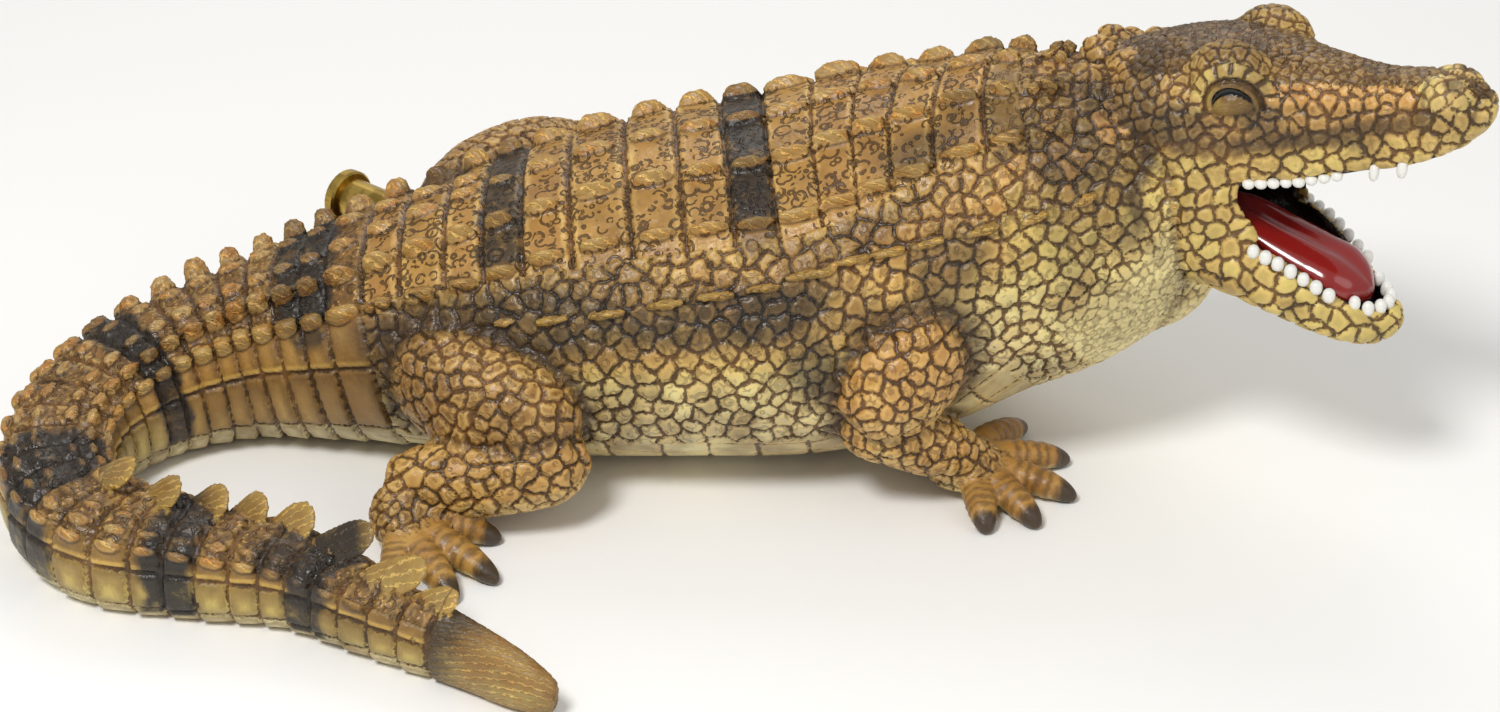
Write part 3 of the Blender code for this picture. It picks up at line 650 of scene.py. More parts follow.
onPaddle = ofTrunk & (along < carving["paddleTo"])
onTail = ofTrunk & (along < carving["tailPlatesTo"]) & ~onPaddle
onBody = ofTrunk & ~onTail & ~onPaddle
onShield = onBody & (lean < carving["shieldEdge"]) & (along < carving["napeAt"])
onBelly = onBody & (lean > carving["bellyEdge"]) & (along < carving["bellyTo"])
onPlates = onTail & (lean > carving["plateEdges"][0]) & ~onLeaf
onCrest = onTail & ~onPlates
scaly = ~(onShield | onBelly | onTail | onPaddle | onToe)
onTop = normals[:, 2] > 0.72
aboveLip = height - np.interp(ahead, *carving["lip"])
sideRow = np.interp(ahead, *carving["sideRow"])
pitGap = np.hypot(ahead - carving["pit"][0], aside - carving["pit"][1])
chest = ofTrunk & (along >= carving["chestFrom"])
faint = layers((chest, softStep(lean, 104, 126)), (isKind("throat"), softStep(-normals[:, 2], 0.05, 0.5)),
               (onNostril, 0.35))
spacing = layers((True, 8.0), *byKind(carving["spacings"]),
                 (onSkull, np.where(onTop, 4.2, np.where(aboveLip < 15, 8.0, 6.2))),
                 (chest, np.interp(lean, *carving["chestSpacing"])), (isKind("throat"), 7.2 - 3.2 * faint))


def scaleSeeds():
    # darts thrown on the skin, each keeping its own distance from the others
    candidates = rng.permutation(np.flatnonzero(scaly))[:carving["darts"]]
    cell, taken, chosen = 4.0, {}, []
    gaps = (spacing[candidates] * rng.uniform(*carving["dartSpread"], len(candidates))).tolist()
    for number, ((x, y, z), gap) in enumerate(zip(points[candidates].tolist(), gaps)):
        i, j, k = int(x // cell), int(y // cell), int(z // cell)
        reach = range(-int(gap // cell) - 1, int(gap // cell) + 2)
        if any((px - x) ** 2 + (py - y) ** 2 + (pz - z) ** 2 < ((gap + own) / 2) ** 2
               for a, b, c in product(reach, repeat=3)
               for px, py, pz, own in taken.get((i + a, j + b, k + c), ())):
            continue
        taken.setdefault((i, j, k), []).append((x, y, z, gap))
        chosen.append(candidates[number])
    return points[np.array(chosen)]


def scaleCells(places):
    # nearest scale, distance to its middle and to its edge, read at slightly wavering places
    after, before = places[:, (1, 2, 0)].T, places[:, (2, 0, 1)].T
    waver = [0.45 * np.sin(after[i] * 1.15 + i) + 0.5 * np.sin(before[i] * 0.5 + 2 * i) for i in range(3)]
    find = pointTree(seeds).find_n
    out = np.empty((len(places), 4))
    for i, place in enumerate((places + np.stack(waver, -1)).tolist()):
        (_, first, near), (_, second, far) = find(place, 2)
        out[i] = first, near, second, far
    first, second = out[:, 0].astype(int), out[:, 2].astype(int)
    apart = np.linalg.norm(seeds[first] - seeds[second], axis=1)
    return first, out[:, 1], (out[:, 3] ** 2 - out[:, 1] ** 2) / (2 * np.maximum(apart, 0.5))


seeds = scaleSeeds()
print("scales seeded", len(seeds))
scalyAt = np.flatnonzero(scaly)
cellOf, cellMiddle, cellEdge = scaleCells(points[scalyAt])
plain = 6.0  # the gap given to skin without grooves
gap, dome, tint = np.full(len(points), plain), np.zeros(len(points)), np.zeros(len(points))
gap[scalyAt] = cellEdge * (np.clip(7.0 / spacing[scalyAt], 0.95, 1.8) * 1.08)
dome[scalyAt] = 1 - np.clip(cellMiddle / (0.62 * spacing[scalyAt]), 0, 1) ** 2
tint[scalyAt] = rng.random(len(seeds))[cellOf]
plateId = index * 9 + np.digitize(lean, carving["plateEdges"]) * 2 + (around > 0)
tint[~scaly] = rng.random(int(plateId.max()) + 1)[plateId[~scaly]]
plateGap = np.min([np.abs(lean - edge) for edge in carving["plateEdges"]], axis=0) * perDegree
bellyRun = (np.radians(180 - lean) * halfWide / carving["bellyScute"] + 0.5) % 1
bellyGap = np.minimum(bellyRun, 1 - bellyRun) * carving["bellyScute"] + 0.35

# eyes: a black crescent under a raised lid, over a bulging lower lid, inside a ring of scales
eyeCarving = {
    "ahead": 4.5, "height": 170.5, "tilt": math.radians(12),
    # radius and drop of the arcs above and below the crescent
    "outer": (7.6, 1.6), "inner": (7.8, 4.8), "lidTo": 11.0, "ringTo": 17.2, "scale": 5.6, "ballHeight": 4.0,
}
(outer, outerDrop), (inner, innerDrop) = eyeCarving["outer"], eyeCarving["inner"]
u = ahead - eyeCarving["ahead"]
v = height - eyeCarving["height"] + 0.5 * np.maximum(28 - aside, 0)
tiltCos, tiltSin = math.cos(eyeCarving["tilt"]), math.sin(eyeCarving["tilt"])
u, v = u * tiltCos + v * tiltSin, v * tiltCos - u * tiltSin
fromOuter, fromInner = np.hypot(u, v + outerDrop), np.hypot(u, v + innerDrop)
fromLid = fromOuter - eyeCarving["lidTo"]
nearEye = onHead & (aside > 13) & (fromOuter < 19) & ~isKind("jowl", "jaw")
slit = np.where(nearEye, np.minimum(outer - fromOuter, fromInner - inner), -5.0)
onBall = nearEye & (fromInner < inner) & (v > -5.2) & (fromOuter < outer + 1)
onLid = nearEye & (fromOuter >= outer) & (fromLid < 0) & (v > -3.5)
onRing = nearEye & (fromLid >= 0) & (fromOuter < eyeCarving["ringTo"]) & (v > -5)
ringCell = (np.arctan2(v + outerDrop, u) * 14.0 / eyeCarving["scale"] + 0.25) % 1
ringScale = np.minimum.reduce([fromLid, eyeCarving["ringTo"] - fromOuter,
                               np.minimum(ringCell, 1 - ringCell) * eyeCarving["scale"]])
ridge = np.where(ofTrunk & ~onPaddle, softStep(proud, 0.7, 2.4), 0)
gap = covered(
    gap, (onShield | onCrest, ringGap * 0.8), (onPlates, np.minimum(ringGap * 0.85, plateGap)),
    (onBelly, np.minimum(ringGap, bellyGap)), (onLeaf | onPaddle | onToe, plain), (onRing, ringScale),
    (onLid | onBall | (slit > -0.6), plain),
    (nearEye & (np.abs(fromLid) < 1.2) & (v > -3.5), np.abs(fromLid)),
    ((ridge > 0.35) & (lean > 58) & ~onTail, plain))


# striations of keels, leaves, paddle and lids
def localPlace(spots, where, which):
    # place in the directions of a point's own keel or leaf, in shares of its size
    origins = np.array([spot[0] for spot in spots])
    axes = np.array([spot[1:4] for spot in spots])
    spans = np.array([spot[4] for spot in spots])
    return np.einsum("ijk,ik->ij", axes[which], points[where] - origins[which]) / spans[which], spans[which]


stroke, strokes = np.zeros(len(points)), np.zeros(len(points))
keelAt = np.flatnonzero(ofTrunk & ~onLeaf & (ridge > 0.02))
keelTree = pointTree(np.array([spot[0] for spot in keelList]))
local, spans = localPlace(keelList, keelAt, nearest(keelTree, points[keelAt])[0])
stroke[keelAt] = (local[:, 1] * spans[:, 1] + 0.4 * local[:, 0] * spans[:, 0]) / 2.5
strokes[keelAt] = 0.7 * ridge[keelAt]
leafAt = np.flatnonzero(onLeaf)
leafOf = share[leafAt].astype(int)
local, spans = localPlace(leafList, leafAt, leafOf)
leafAside, leafUp = local[:, 0], local[:, 2]
stroke[leafAt] = np.arctan2(leafAside * spans[:, 0], (leafUp + 0.45) * spans[:, 2]) * 8.5
strokes[leafAt], ridge[leafAt] = 0.75, 0.3
ridge = np.where(onPaddle, 0.45, ridge)
flatPlate = onPlates & (ridge < 0.1)
stroke = covered(
    stroke, (onPaddle, (arc + 0.42 * along) / 2.5), (flatPlate, along / 1.7 + 0.25 * np.sin(arc * 0.6)),
    (onBall, v / 1.5 + 0.3 * np.sin(u)), (onLid, fromOuter / 1.5 + 0.25 * np.sin(u * 1.3)))
strokes = covered(strokes, (onPaddle, 0.75), (flatPlate, 0.1), (onLid, 0.7 * softStep(fromOuter, 9.0, 9.8)),
                  (onBall, 0.4))

# engraved curls and rough lumps, with painted shade in the lumps' hollows and painted highlight on their tops
curl = layers((onShield, 1 - ridge), (onCrest, 0.7 * (1 - 0.7 * ridge)), (onSkull & onTop, 0.7),
              (scaly & ~onHead, 0.42), (onSkull & ~onTop, 0.2), (ofTrunk & (along > 700) & (lean < 70), 0.55),
              (onLeaf, 0.0))
x, y, z = points.T
lumps = np.sin(x * 1.5 + 2 * np.sin(y * 0.9)) * np.sin(y * 1.4 + 2 * np.sin(z * 1.1))
lumps *= np.sin(z * 1.5 + x * 0.4)
lumpShading = lumps * covered(0.35, (onShield, 0.55), (onCrest, 1.0), (onLeaf, 0.15))
lumpy = covered(np.clip(curl * 1.4, 0.15, 1), (onCrest, 1.7), (onLeaf, 0.2))


def insideMouth(grow):
    table = np.array(headSizes["mouth"])
    roof, floor, roofHalf, floorHalf = (np.interp(ahead, table[:, 0], table[:, k]) for k in (1, 2, 3, 4))
    level = np.clip((height - floor) / (roof - floor), 0, 1)
    half = floorHalf + (roofHalf - floorHalf) * level
    fits = (height > floor - grow) & (height < roof + grow) & (aside < half + grow)
    return fits & (ahead > -18) & (ahead < 84)


def creaseBetween(kindA, kindB, reach):
    # how near each point of one kind comes to the other kind's form on the same leg
    found = np.zeros(len(points))
    for hand, (a, b) in product((1, -1), ((kindA, kindB), (kindB, kindA))):
        where = np.flatnonzero(isKind(a) & (handed == hand))
        cloud = np.concatenate([f["points"] for f in forms if f["kind"] == kinds[b] and f["hand"] == hand])
        if len(where):
            found[where] = fade(nearest(pointTree(cloud), points[where])[1], 0.5, reach)
    return found


# creases at the legs, behind the jowls and in the folds, sunk into the casting and darkened with painted
# shade
lining = (insideMouth(0.9) & isKind("skull", "jaw", "jowl", "throat", "trunk")).astype(float)
shadedCrease = layers((ofTrunk & (limbGap < 8), fade(limbGap, 1.0, 8.0)),
                (onLimb & ~onToe & (trunkGap < 6), fade(trunkGap, 0.5, 6.0)))
shadedCrease = np.maximum(shadedCrease, creaseBetween("thigh", "shank", 4.5))
shadedCrease = np.maximum(shadedCrease, 0.6 * creaseBetween("arm", "forearm", 3.0))
shadedCrease = np.where(onHead & (trunkGap < 4), np.maximum(shadedCrease, 0.6 * fade(trunkGap, 0.5, 4.0)), shadedCrease)
# painted shadow behind each jowl, sunk with the creases
jowlLine = ahead + 24 + 0.1 * (height - 130) + 1.5 * np.sin(height * 0.3)
shadowBehindJowl = fade(np.abs(jowlLine), 0.5, 5.5) * softStep(height, 106, 122) * fade(height, 144, 162)
shadedCrease = np.maximum(shadedCrease, np.where((aside > 8) & (onHead | ofTrunk), shadowBehindJowl, 0))

ringGroove = fade(gap, *carving["ringGroove"])
scaleGroove = np.where(scaly, fade(gap, *carving["scaleGroove"]), 0)
ballBulge = np.sqrt(np.clip(1 - (u / inner) ** 2 - ((v + outerDrop) / eyeCarving["ballHeight"]) ** 2, 0, 1))
lidBulge = np.sin(np.clip((fromOuter - outer) / 2.0, 0, 1) * math.pi)
onSnoutTop = onHead & (ahead > 60) & (normals[:, 2] > 0.1)
depth = layers(
    (onShield | onCrest, ringGroove * carving["ringDepth"] * covered(1.0, (onCrest, 0.6), (proud > 3, 0.4))),
    (onPlates, ringGroove * carving["plateDepth"]), (onBelly, ringGroove * carving["bellyDepth"]))
depth += scaleGroove * carving["scaleDepth"] * np.clip(spacing / 6.5, 0.5, 1.1) * (1 - 0.6 * faint)
depth -= dome * (gap < 5.9) * carving["scaleDome"] * np.clip(spacing / 7, 0.3, 1)
depth -= np.where(onPlates, 1.1 * within * softStep(1 - within, 0, 0.12), 0)
depth += np.where(slit > -0.4, 1.3 * softStep(slit, -0.4, 0.5), 0)
depth -= np.where(onBall, 1.5 * ballBulge, 0)
depth -= np.where(onLid, 0.9 * lidBulge, 0)
depth += np.where(onSnoutTop, carving["pitDepth"] * fade(pitGap, 1.0, 3.0), 0)
depth += carving["strokeDepth"] * strokes * np.where(onLeaf, 0.35, 1.0) * np.cos(stroke * math.tau)
depth += carving["curlDepth"] * lumps * lumpy
depth += carving["creaseDepth"] * shadedCrease
depth[lining > 0] = 0
points -= normals * (depth * softStep(points[:, 2], 0.3, 2.0))[:, None]
points[:, 2] = np.maximum(points[:, 2], 0.0)
print("carved")

# where the paint goes
painting = {
    # black bands: middle and half width along the spine, strength, from and to degrees off the top
    "bands": ((570, 9.5, 0.95, 0, 40), (475, 8, 0.9, 0, 42), (391, 14, 0.95, 0, 52), (391, 7, 0.8, 52, 66),
              (308, 9, 0.95, 0, 112), (230, 17, 0.95, 0, 60), (216, 12, 0.95, 60, 118),
              (162, 9.5, 0.97, 0, 122), (104, 9, 0.95, 0, 125), (121, 8, 0.8, 0, 60), (41, 9, 0.85, 0, 130)),
    "blackLeaf": 5, "darkLeaf": 2,
    # painted shadows in soft ovals: length along the spine, degrees off the top, their half spans, strength
    "paintedShade": ((470, 66, 74, 20, 1.0), (556, 70, 66, 13, 1.0), (668, 76, 24, 13, 0.75), (620, 56, 60, 7, 0.5),
              (586, 88, 14, 16, 0.85), (614, 77, 18, 8, 0.55), (668, 37, 24, 9, 0.75), (690, 30, 16, 14, 0.6),
              (500, 60, 22, 6, 0.45), (722, 50, 18, 30, 0.55), (740, 22, 22, 26, 0.7), (712, 84, 12, 20, 0.4),
              (640, 60, 40, 6, 0.25), (430, 90, 20, 16, 0.45), (570, 46, 12, 8, 0.5), (570, 90, 9, 22, 0.25)),
    # the same on the head: distance ahead of the eyes, height, half spans, strength
    "headShade": ((-14, 158, 16, 10, 0.85), (-32, 160, 12, 18, 0.65), (15, 164, 9, 8, 0.75),
                  (30, 160, 26, 4, 0.6), (2, 154, 16, 4, 0.5), (-22, 140, 8, 10, 0.3)),
    # paleness against the degrees off the top, or the height above the lip
    "bodyPale": ((0, 44, 50, 66, 80, 92, 108, 130, 180), (0, 0.06, 0.24, 0.34, 0.54, 0.88, 0.97, 0.98, 1.0)),
    "neckPale": ((0, 55, 75, 100, 130, 180), (0.0, 0.2, 0.5, 0.78, 0.9, 0.95)), "neck": (660, 712),
    "outerPlatePale": ((80, 96, 114), (0.5, 0.66, 0.85)), "paddlePale": ((0, 60, 120), (0.4, 0.6, 0.75)),
    "rootPale": ((0, 46, 80, 114), (0.05, 0.25, 0.25, 0.45)),
    "skullPale": ((0, 12, 17, 34), (0.72, 0.66, 0.3, 0.05)),
    "pale": ((("thigh", "arm"), 0.3), (("shank", "forearm"), 0.36), (("foot", "hand", "toe"), 0.2),
             (("jaw",), 0.68), (("jowl", "nostril"), 0.62), (("throat",), 0.85), (("brow",), 0.25)),
    "warm": ((("thigh", "arm"), 0.8), (("shank", "forearm"), 0.65), (("foot", "hand", "toe"), 0.4)),
    "rootWarm": ((46, 80, 100), (0.6, 0.45, 0.2)),
}


def blot(x, y, spots, where):
    # soft oval spots, the strongest of them at each point
    laid = np.zeros(len(points))
    for spotX, spotY, halfX, halfY, strength in spots:
        far = np.hypot((x - spotX) / halfX, (y - spotY) / halfY)
        laid = np.maximum(laid, np.where(where, strength * fade(far, 0.45, 1.25), 0))
    return laid


band = np.zeros(len(points))
waver = 2.5 * np.sin(arc * 0.35 + 1) + 1.5 * np.sin(arc * 0.9)
for place, half, strength, low, high in painting["bands"]:
    inside = fade(np.abs(along - place + 0.5 * waver), half - 1.5, half + 2.5)
    inside *= softStep(lean, low - 6, low) * fade(lean, high - 3, high + 6)
    band = np.maximum(band, np.where(ofTrunk, inside * strength, 0))
band = np.where(onPaddle, 0.85 * softStep(along - 0.08 * lean + 3 * np.sin(stroke * math.tau), 24, 42), band)
band[leafAt] = np.select([leafOf == painting["blackLeaf"], leafOf == painting["darkLeaf"]],
                         [0.95 * (1 - 0.6 * softStep(leafUp, 0.75, 1.0)), 0.8 * fade(leafUp, 0.3, 0.8)], 0.0)
paintedShade = np.maximum(blot(along, lean, painting["paintedShade"], ofTrunk),
                   blot(ahead, height, painting["headShade"], onHead & (aside > 10)))
# the flank keels stay out of the painted shadow
paintedShade *= 1 - 0.85 * ridge * (lean > 50)

neck = softStep(along, *painting["neck"])
bodyPale = np.interp(lean, *painting["bodyPale"]) * (1 - neck) + neck * np.interp(lean, *painting["neckPale"])
tailPale = covered(np.interp(lean, *painting["outerPlatePale"]), (lean < 80, 0.2), (lean < 46, 0.05),
                   (along > 300, np.interp(lean, *painting["rootPale"])), (lean >= 114, 0.97))
pale = layers(
    (ofTrunk, np.where(onBody, bodyPale, tailPale)), (onPaddle, np.interp(lean, *painting["paddlePale"])),
    (onLeaf, 0.62), *byKind(painting["pale"]), (onLimb & (normals[:, 2] < -0.2), 0.8),
    (onSkull, np.interp(aboveLip, *painting["skullPale"])), (onHead & (ahead > 74) & ~onTop, 0.72),
    (onRing, 0.68), (onLid | onBall, 0.4))

onRow = onSkull & (np.abs(height - sideRow + 1) < 3.4) & (ahead > 10) & (ahead < 68)
onFlank = ofTrunk & ~onTail & (lean > 50) & (lean < 94) & (along < 690)
onRoot = onTail & (along > 290) & (lean < 114)
warm = layers(
    *byKind(painting["warm"]), (onShield, 0.18),
    (onFlank, 0.55 * softStep(lean, 48, 60) * fade(lean, 80, 94)),
    (onRoot, np.interp(lean, *painting["rootWarm"])), (onCrest, 0.35), (onLeaf, 0.15), (onPaddle, 0.2),
    (ofTrunk & (along > 690) & (lean < 70), 0.7 * (tint > 0.5)), (onSkull, 0.15),
    (onSkull & (aboveLip > 20) & (height < sideRow - 4), 0.45), (onRow, 1.0),
    (onNostril, 0.7 * fade(pitGap, 4.0, 7.0)), ((ridge > 0.3) & (lean > 56) & ~onTail & ofTrunk, 0.0))

# each plate of the tail darkens towards its upper and its forward edge
plateShade = np.maximum(softStep(within, 0.55, 1.0), fade(lean - np.where(lean < 80, 46, 80), 2, 16))
cheekStripe = np.maximum(0.85 * fade(np.abs(aboveLip - 18), 2.0, 5.5), 0.3 * softStep(aboveLip, 13, 18))
brown = layers(
    (onSkull & onTop, 1.0), (onSkull & ~onTop & (ahead < 76), cheekStripe),
    (onSkull & (height > sideRow + 2.5) & (ahead > 8), 0.75), (onRow, 0.0), (isKind("brow") & ~onRing, 0.5),
    (onRing | onBall | onLid, 0.1), (isKind("foot", "hand"), 0.35),
    (onPlates & (along < 300) & (lean < 80), 0.45), (onCrest, 0.72),
    (onPlates & (along >= 290) & (lean < 114), 0.12 + 0.5 * plateShade),
    (onPlates & (along < 290) & (lean >= 80) & (lean < 114), 0.55 * plateShade), (isKind("thigh"), 0.5),
    (ofTrunk & (along > 690) & (lean < 75), 0.45 * (tint < 0.6)), (onPaddle | onLeaf, 0.1),
    (onLid, 0.3 + 0.6 * softStep(fromOuter, 8.4, 9.2)), (onBall, 0.35))
pitRing = fade(pitGap, 3.2, 4.6) + 0.8 * fade(np.abs(pitGap - 9.6), 0.4, 1.2)
brown = np.maximum(brown, np.where(onHead & (ahead > 60) & (normals[:, 2] > 0), pitRing, 0))

# painted shadow round the foot of each keel and leaf, and painted highlight on their tops, on the plates' row
# edges and on the leaves' rims
keeled = ofTrunk & ~onPaddle & ~onLeaf
footed = keeled & (onShield | onCrest | (lean > 55))
foot = np.where(footed, softStep(proud, 0.15, 0.6) * fade(proud, 0.9, 1.9), 0)
foot[leafAt] = fade(leafUp + 0.1 * np.abs(leafAside), 0.12, 0.4)
keelLight = np.where(lean > 55, softStep(proud, 1.2, 2.6), 0.6 * softStep(proud, 2.0, 3.8))
lit = np.where(onPlates & (ridge < 0.3), fade(np.abs((lean - 80) * perDegree + 1.9), 0.4, 1.6), 0)
lit = np.maximum(lit, np.where(keeled & ~onCrest, keelLight, 0))
leafEdge = np.hypot(leafAside, (leafUp - 0.5) / 0.5 * (leafUp > 0.5))
lit[leafAt] = 0.95 * softStep(leafEdge, 0.55, 0.85) * (leafUp > 0.25)
claw = np.where(onToe, softStep(share + 0.015 * np.sin(points[:, 0] * 2.1), 0.72, 0.82), 0)
toeRun = share - 0.18 + 0.016 * np.sin(points[:, 0] * 0.8) + 0.012 * np.sin(points[:, 1] * 1.3)
toeRings = (0.5 + 0.5 * np.cos(toeRun * math.tau / 0.15)) * softStep(share, 0.12, 0.2) * (1 - claw)
masks = {"gap": gap, "ridge": ridge, "band": band, "paintedShade": paintedShade, "pale": pale, "warm": warm, "brown": brown,
         "shadedCrease": shadedCrease, "claw": claw, "rings": np.where(onToe, toeRings, 0), "curl": curl, "tint": tint,
         "lining": lining, "slit": slit, "stroke": stroke, "strokes": strokes, "lumpShading": lumpShading, "foot": foot,
         "plate": onPlates.astype(float), "lit": lit, "faint": faint}
print("paint laid out")


# materials
def shade(code):
    # hex screen colour as linear values
    parts = [int(code[i:i + 2], 16) / 255 for i in (0, 2, 4)]
    return tuple(p / 12.92 if p < 0.04045 else ((p + 0.055) / 1.055) ** 2.4 for p in parts) + (1.0,)


class Paint:
    # short calls that add nodes to one material's tree

    def __init__(self, name, colours=None):
        self.material = bpy.data.materials.new(name)
        self.material.use_nodes = True
        self.nodes, self.links = self.material.node_tree.nodes, self.material.node_tree.links
        self.shader = self.nodes["Principled BSDF"]
        self.colours = colours

    def put(self, socket, value):
        if isinstance(value, bpy.types.NodeSocket):
            self.links.new(value, socket)
        else:
            socket.default_value = value

    def fill(self, node, **values):
        for title, value in values.items():
            self.put(node.inputs[title.replace("_", " ")], value)

    def finish(self, **values):
        self.fill(self.shader, **values)
        return self.material

    def mask(self, name):
        node = self.nodes.new("ShaderNodeAttribute")
        node.attribute_name = name
        return node.outputs["Fac"]

    def place(self):
        return self.nodes.new("ShaderNodeTexCoord").outputs["Object"]

    def noise(self, scale, detail, rough):
        node = self.nodes.new("ShaderNodeTexNoise")
        self.fill(node, Scale=scale, Detail=detail, Roughness=rough, Vector=self.place())
        return node.outputs["Fac"]

    def sum(self, way, a, b=0.0, c=0.0):
        node = self.nodes.new("ShaderNodeMath")
        node.operation = way
        for socket, value in zip(node.inputs, (a, b, c)):
            self.put(socket, value)
        return node.outputs[0]

    def times(self, a, b):
        return self.sum("MULTIPLY", a, b)

    def fit(self, value, low, high, least=0.0, most=1.0):
        node = self.nodes.new("ShaderNodeMapRange")
        node.interpolation_type = "SMOOTHSTEP"
        self.fill(node, Value=value, From_Min=low, From_Max=high, To_Min=least, To_Max=most)
        return node.outputs[0]

    def blend(self, share, under, over):
        node = self.nodes.new("ShaderNodeMix")
        node.data_type = "RGBA"
        for slot, value in (("Factor", share), (6, under), (7, over)):
            self.put(node.inputs[slot], value)
        return node.outputs[2]

    def cover(self, base, share, colour):
        return self.blend(share, base, shade(self.colours[colour]))

    def ramp(self, value, stops):
        node = self.nodes.new("ShaderNodeValToRGB")
        items = node.color_ramp.elements
        while len(items) < len(stops):
            items.new(0.5)
        for item, (place, code) in zip(items, stops):
            item.position, item.color = place, shade(code)
        self.put(node.inputs["Fac"], value)
        return node.outputs["Color"]

    def loops(self, scale, turn):
        # broken circles round the middles of cells
        node = self.nodes.new("ShaderNodeTexVoronoi")
        node.inputs["Scale"].default_value = scale
        shift = self.nodes.new("ShaderNodeVectorMath")
        shift.operation = "ADD"
        self.put(shift.inputs[0], self.place())
        shift.inputs[1].default_value = (turn, turn, turn)
        self.put(node.inputs["Vector"], shift.outputs[0])
        reach = self.fit(node.outputs["Color"], 0.2, 0.8, 0.18, 0.5)
        away = self.sum("ABSOLUTE", self.sum("SUBTRACT", node.outputs["Distance"], reach))
        broken = self.fit(self.noise(scale * 1.3, 1, 0.5), 0.41, 0.49)
        return self.times(self.fit(away, 0.095, 0.045), broken)

    def bump(self, height, strength, distance):
        node = self.nodes.new("ShaderNodeBump")
        self.fill(node, Strength=strength, Distance=distance, Height=height)
        return node.outputs["Normal"]


resinColours = {
    "ground": ((0.0, "B08744"), (0.3, "BF9A4E"), (0.5, "CCAE5A"), (0.7, "D8C470"), (0.9, "E6D896"),
               (1.0, "DCD2A4")),
    "orange": ((0.35, "BC7C34"), (0.65, "DCA660")), "crestHighlight": ((0.35, "E29A44"), (0.65, "F6CE80")),
    "tan": "A07236", "mottle": "76562A", "brown": "4A341A", "scaleRimHighlight": "EDC87A", "plateEdgeShade": "6E4C22",
    "cream": "EEDFA0", "hollowShade": "5E4422", "bumpHighlight": "E2AE62", "keelFootShade": "4E3618", "lit": "E4BA5C",
    "cut": "4E3418", "loop": "4A3217", "paintedShade": "32281A", "band": "26211C", "groove": "6E4A22",
    "deepGroove": "452E11", "blackGroove": "1C1610", "rings": "4A3018", "shadedCrease": "3E2B17",
    "claw": "2A241F", "lining": "0F100E", "slit": "080706",
}


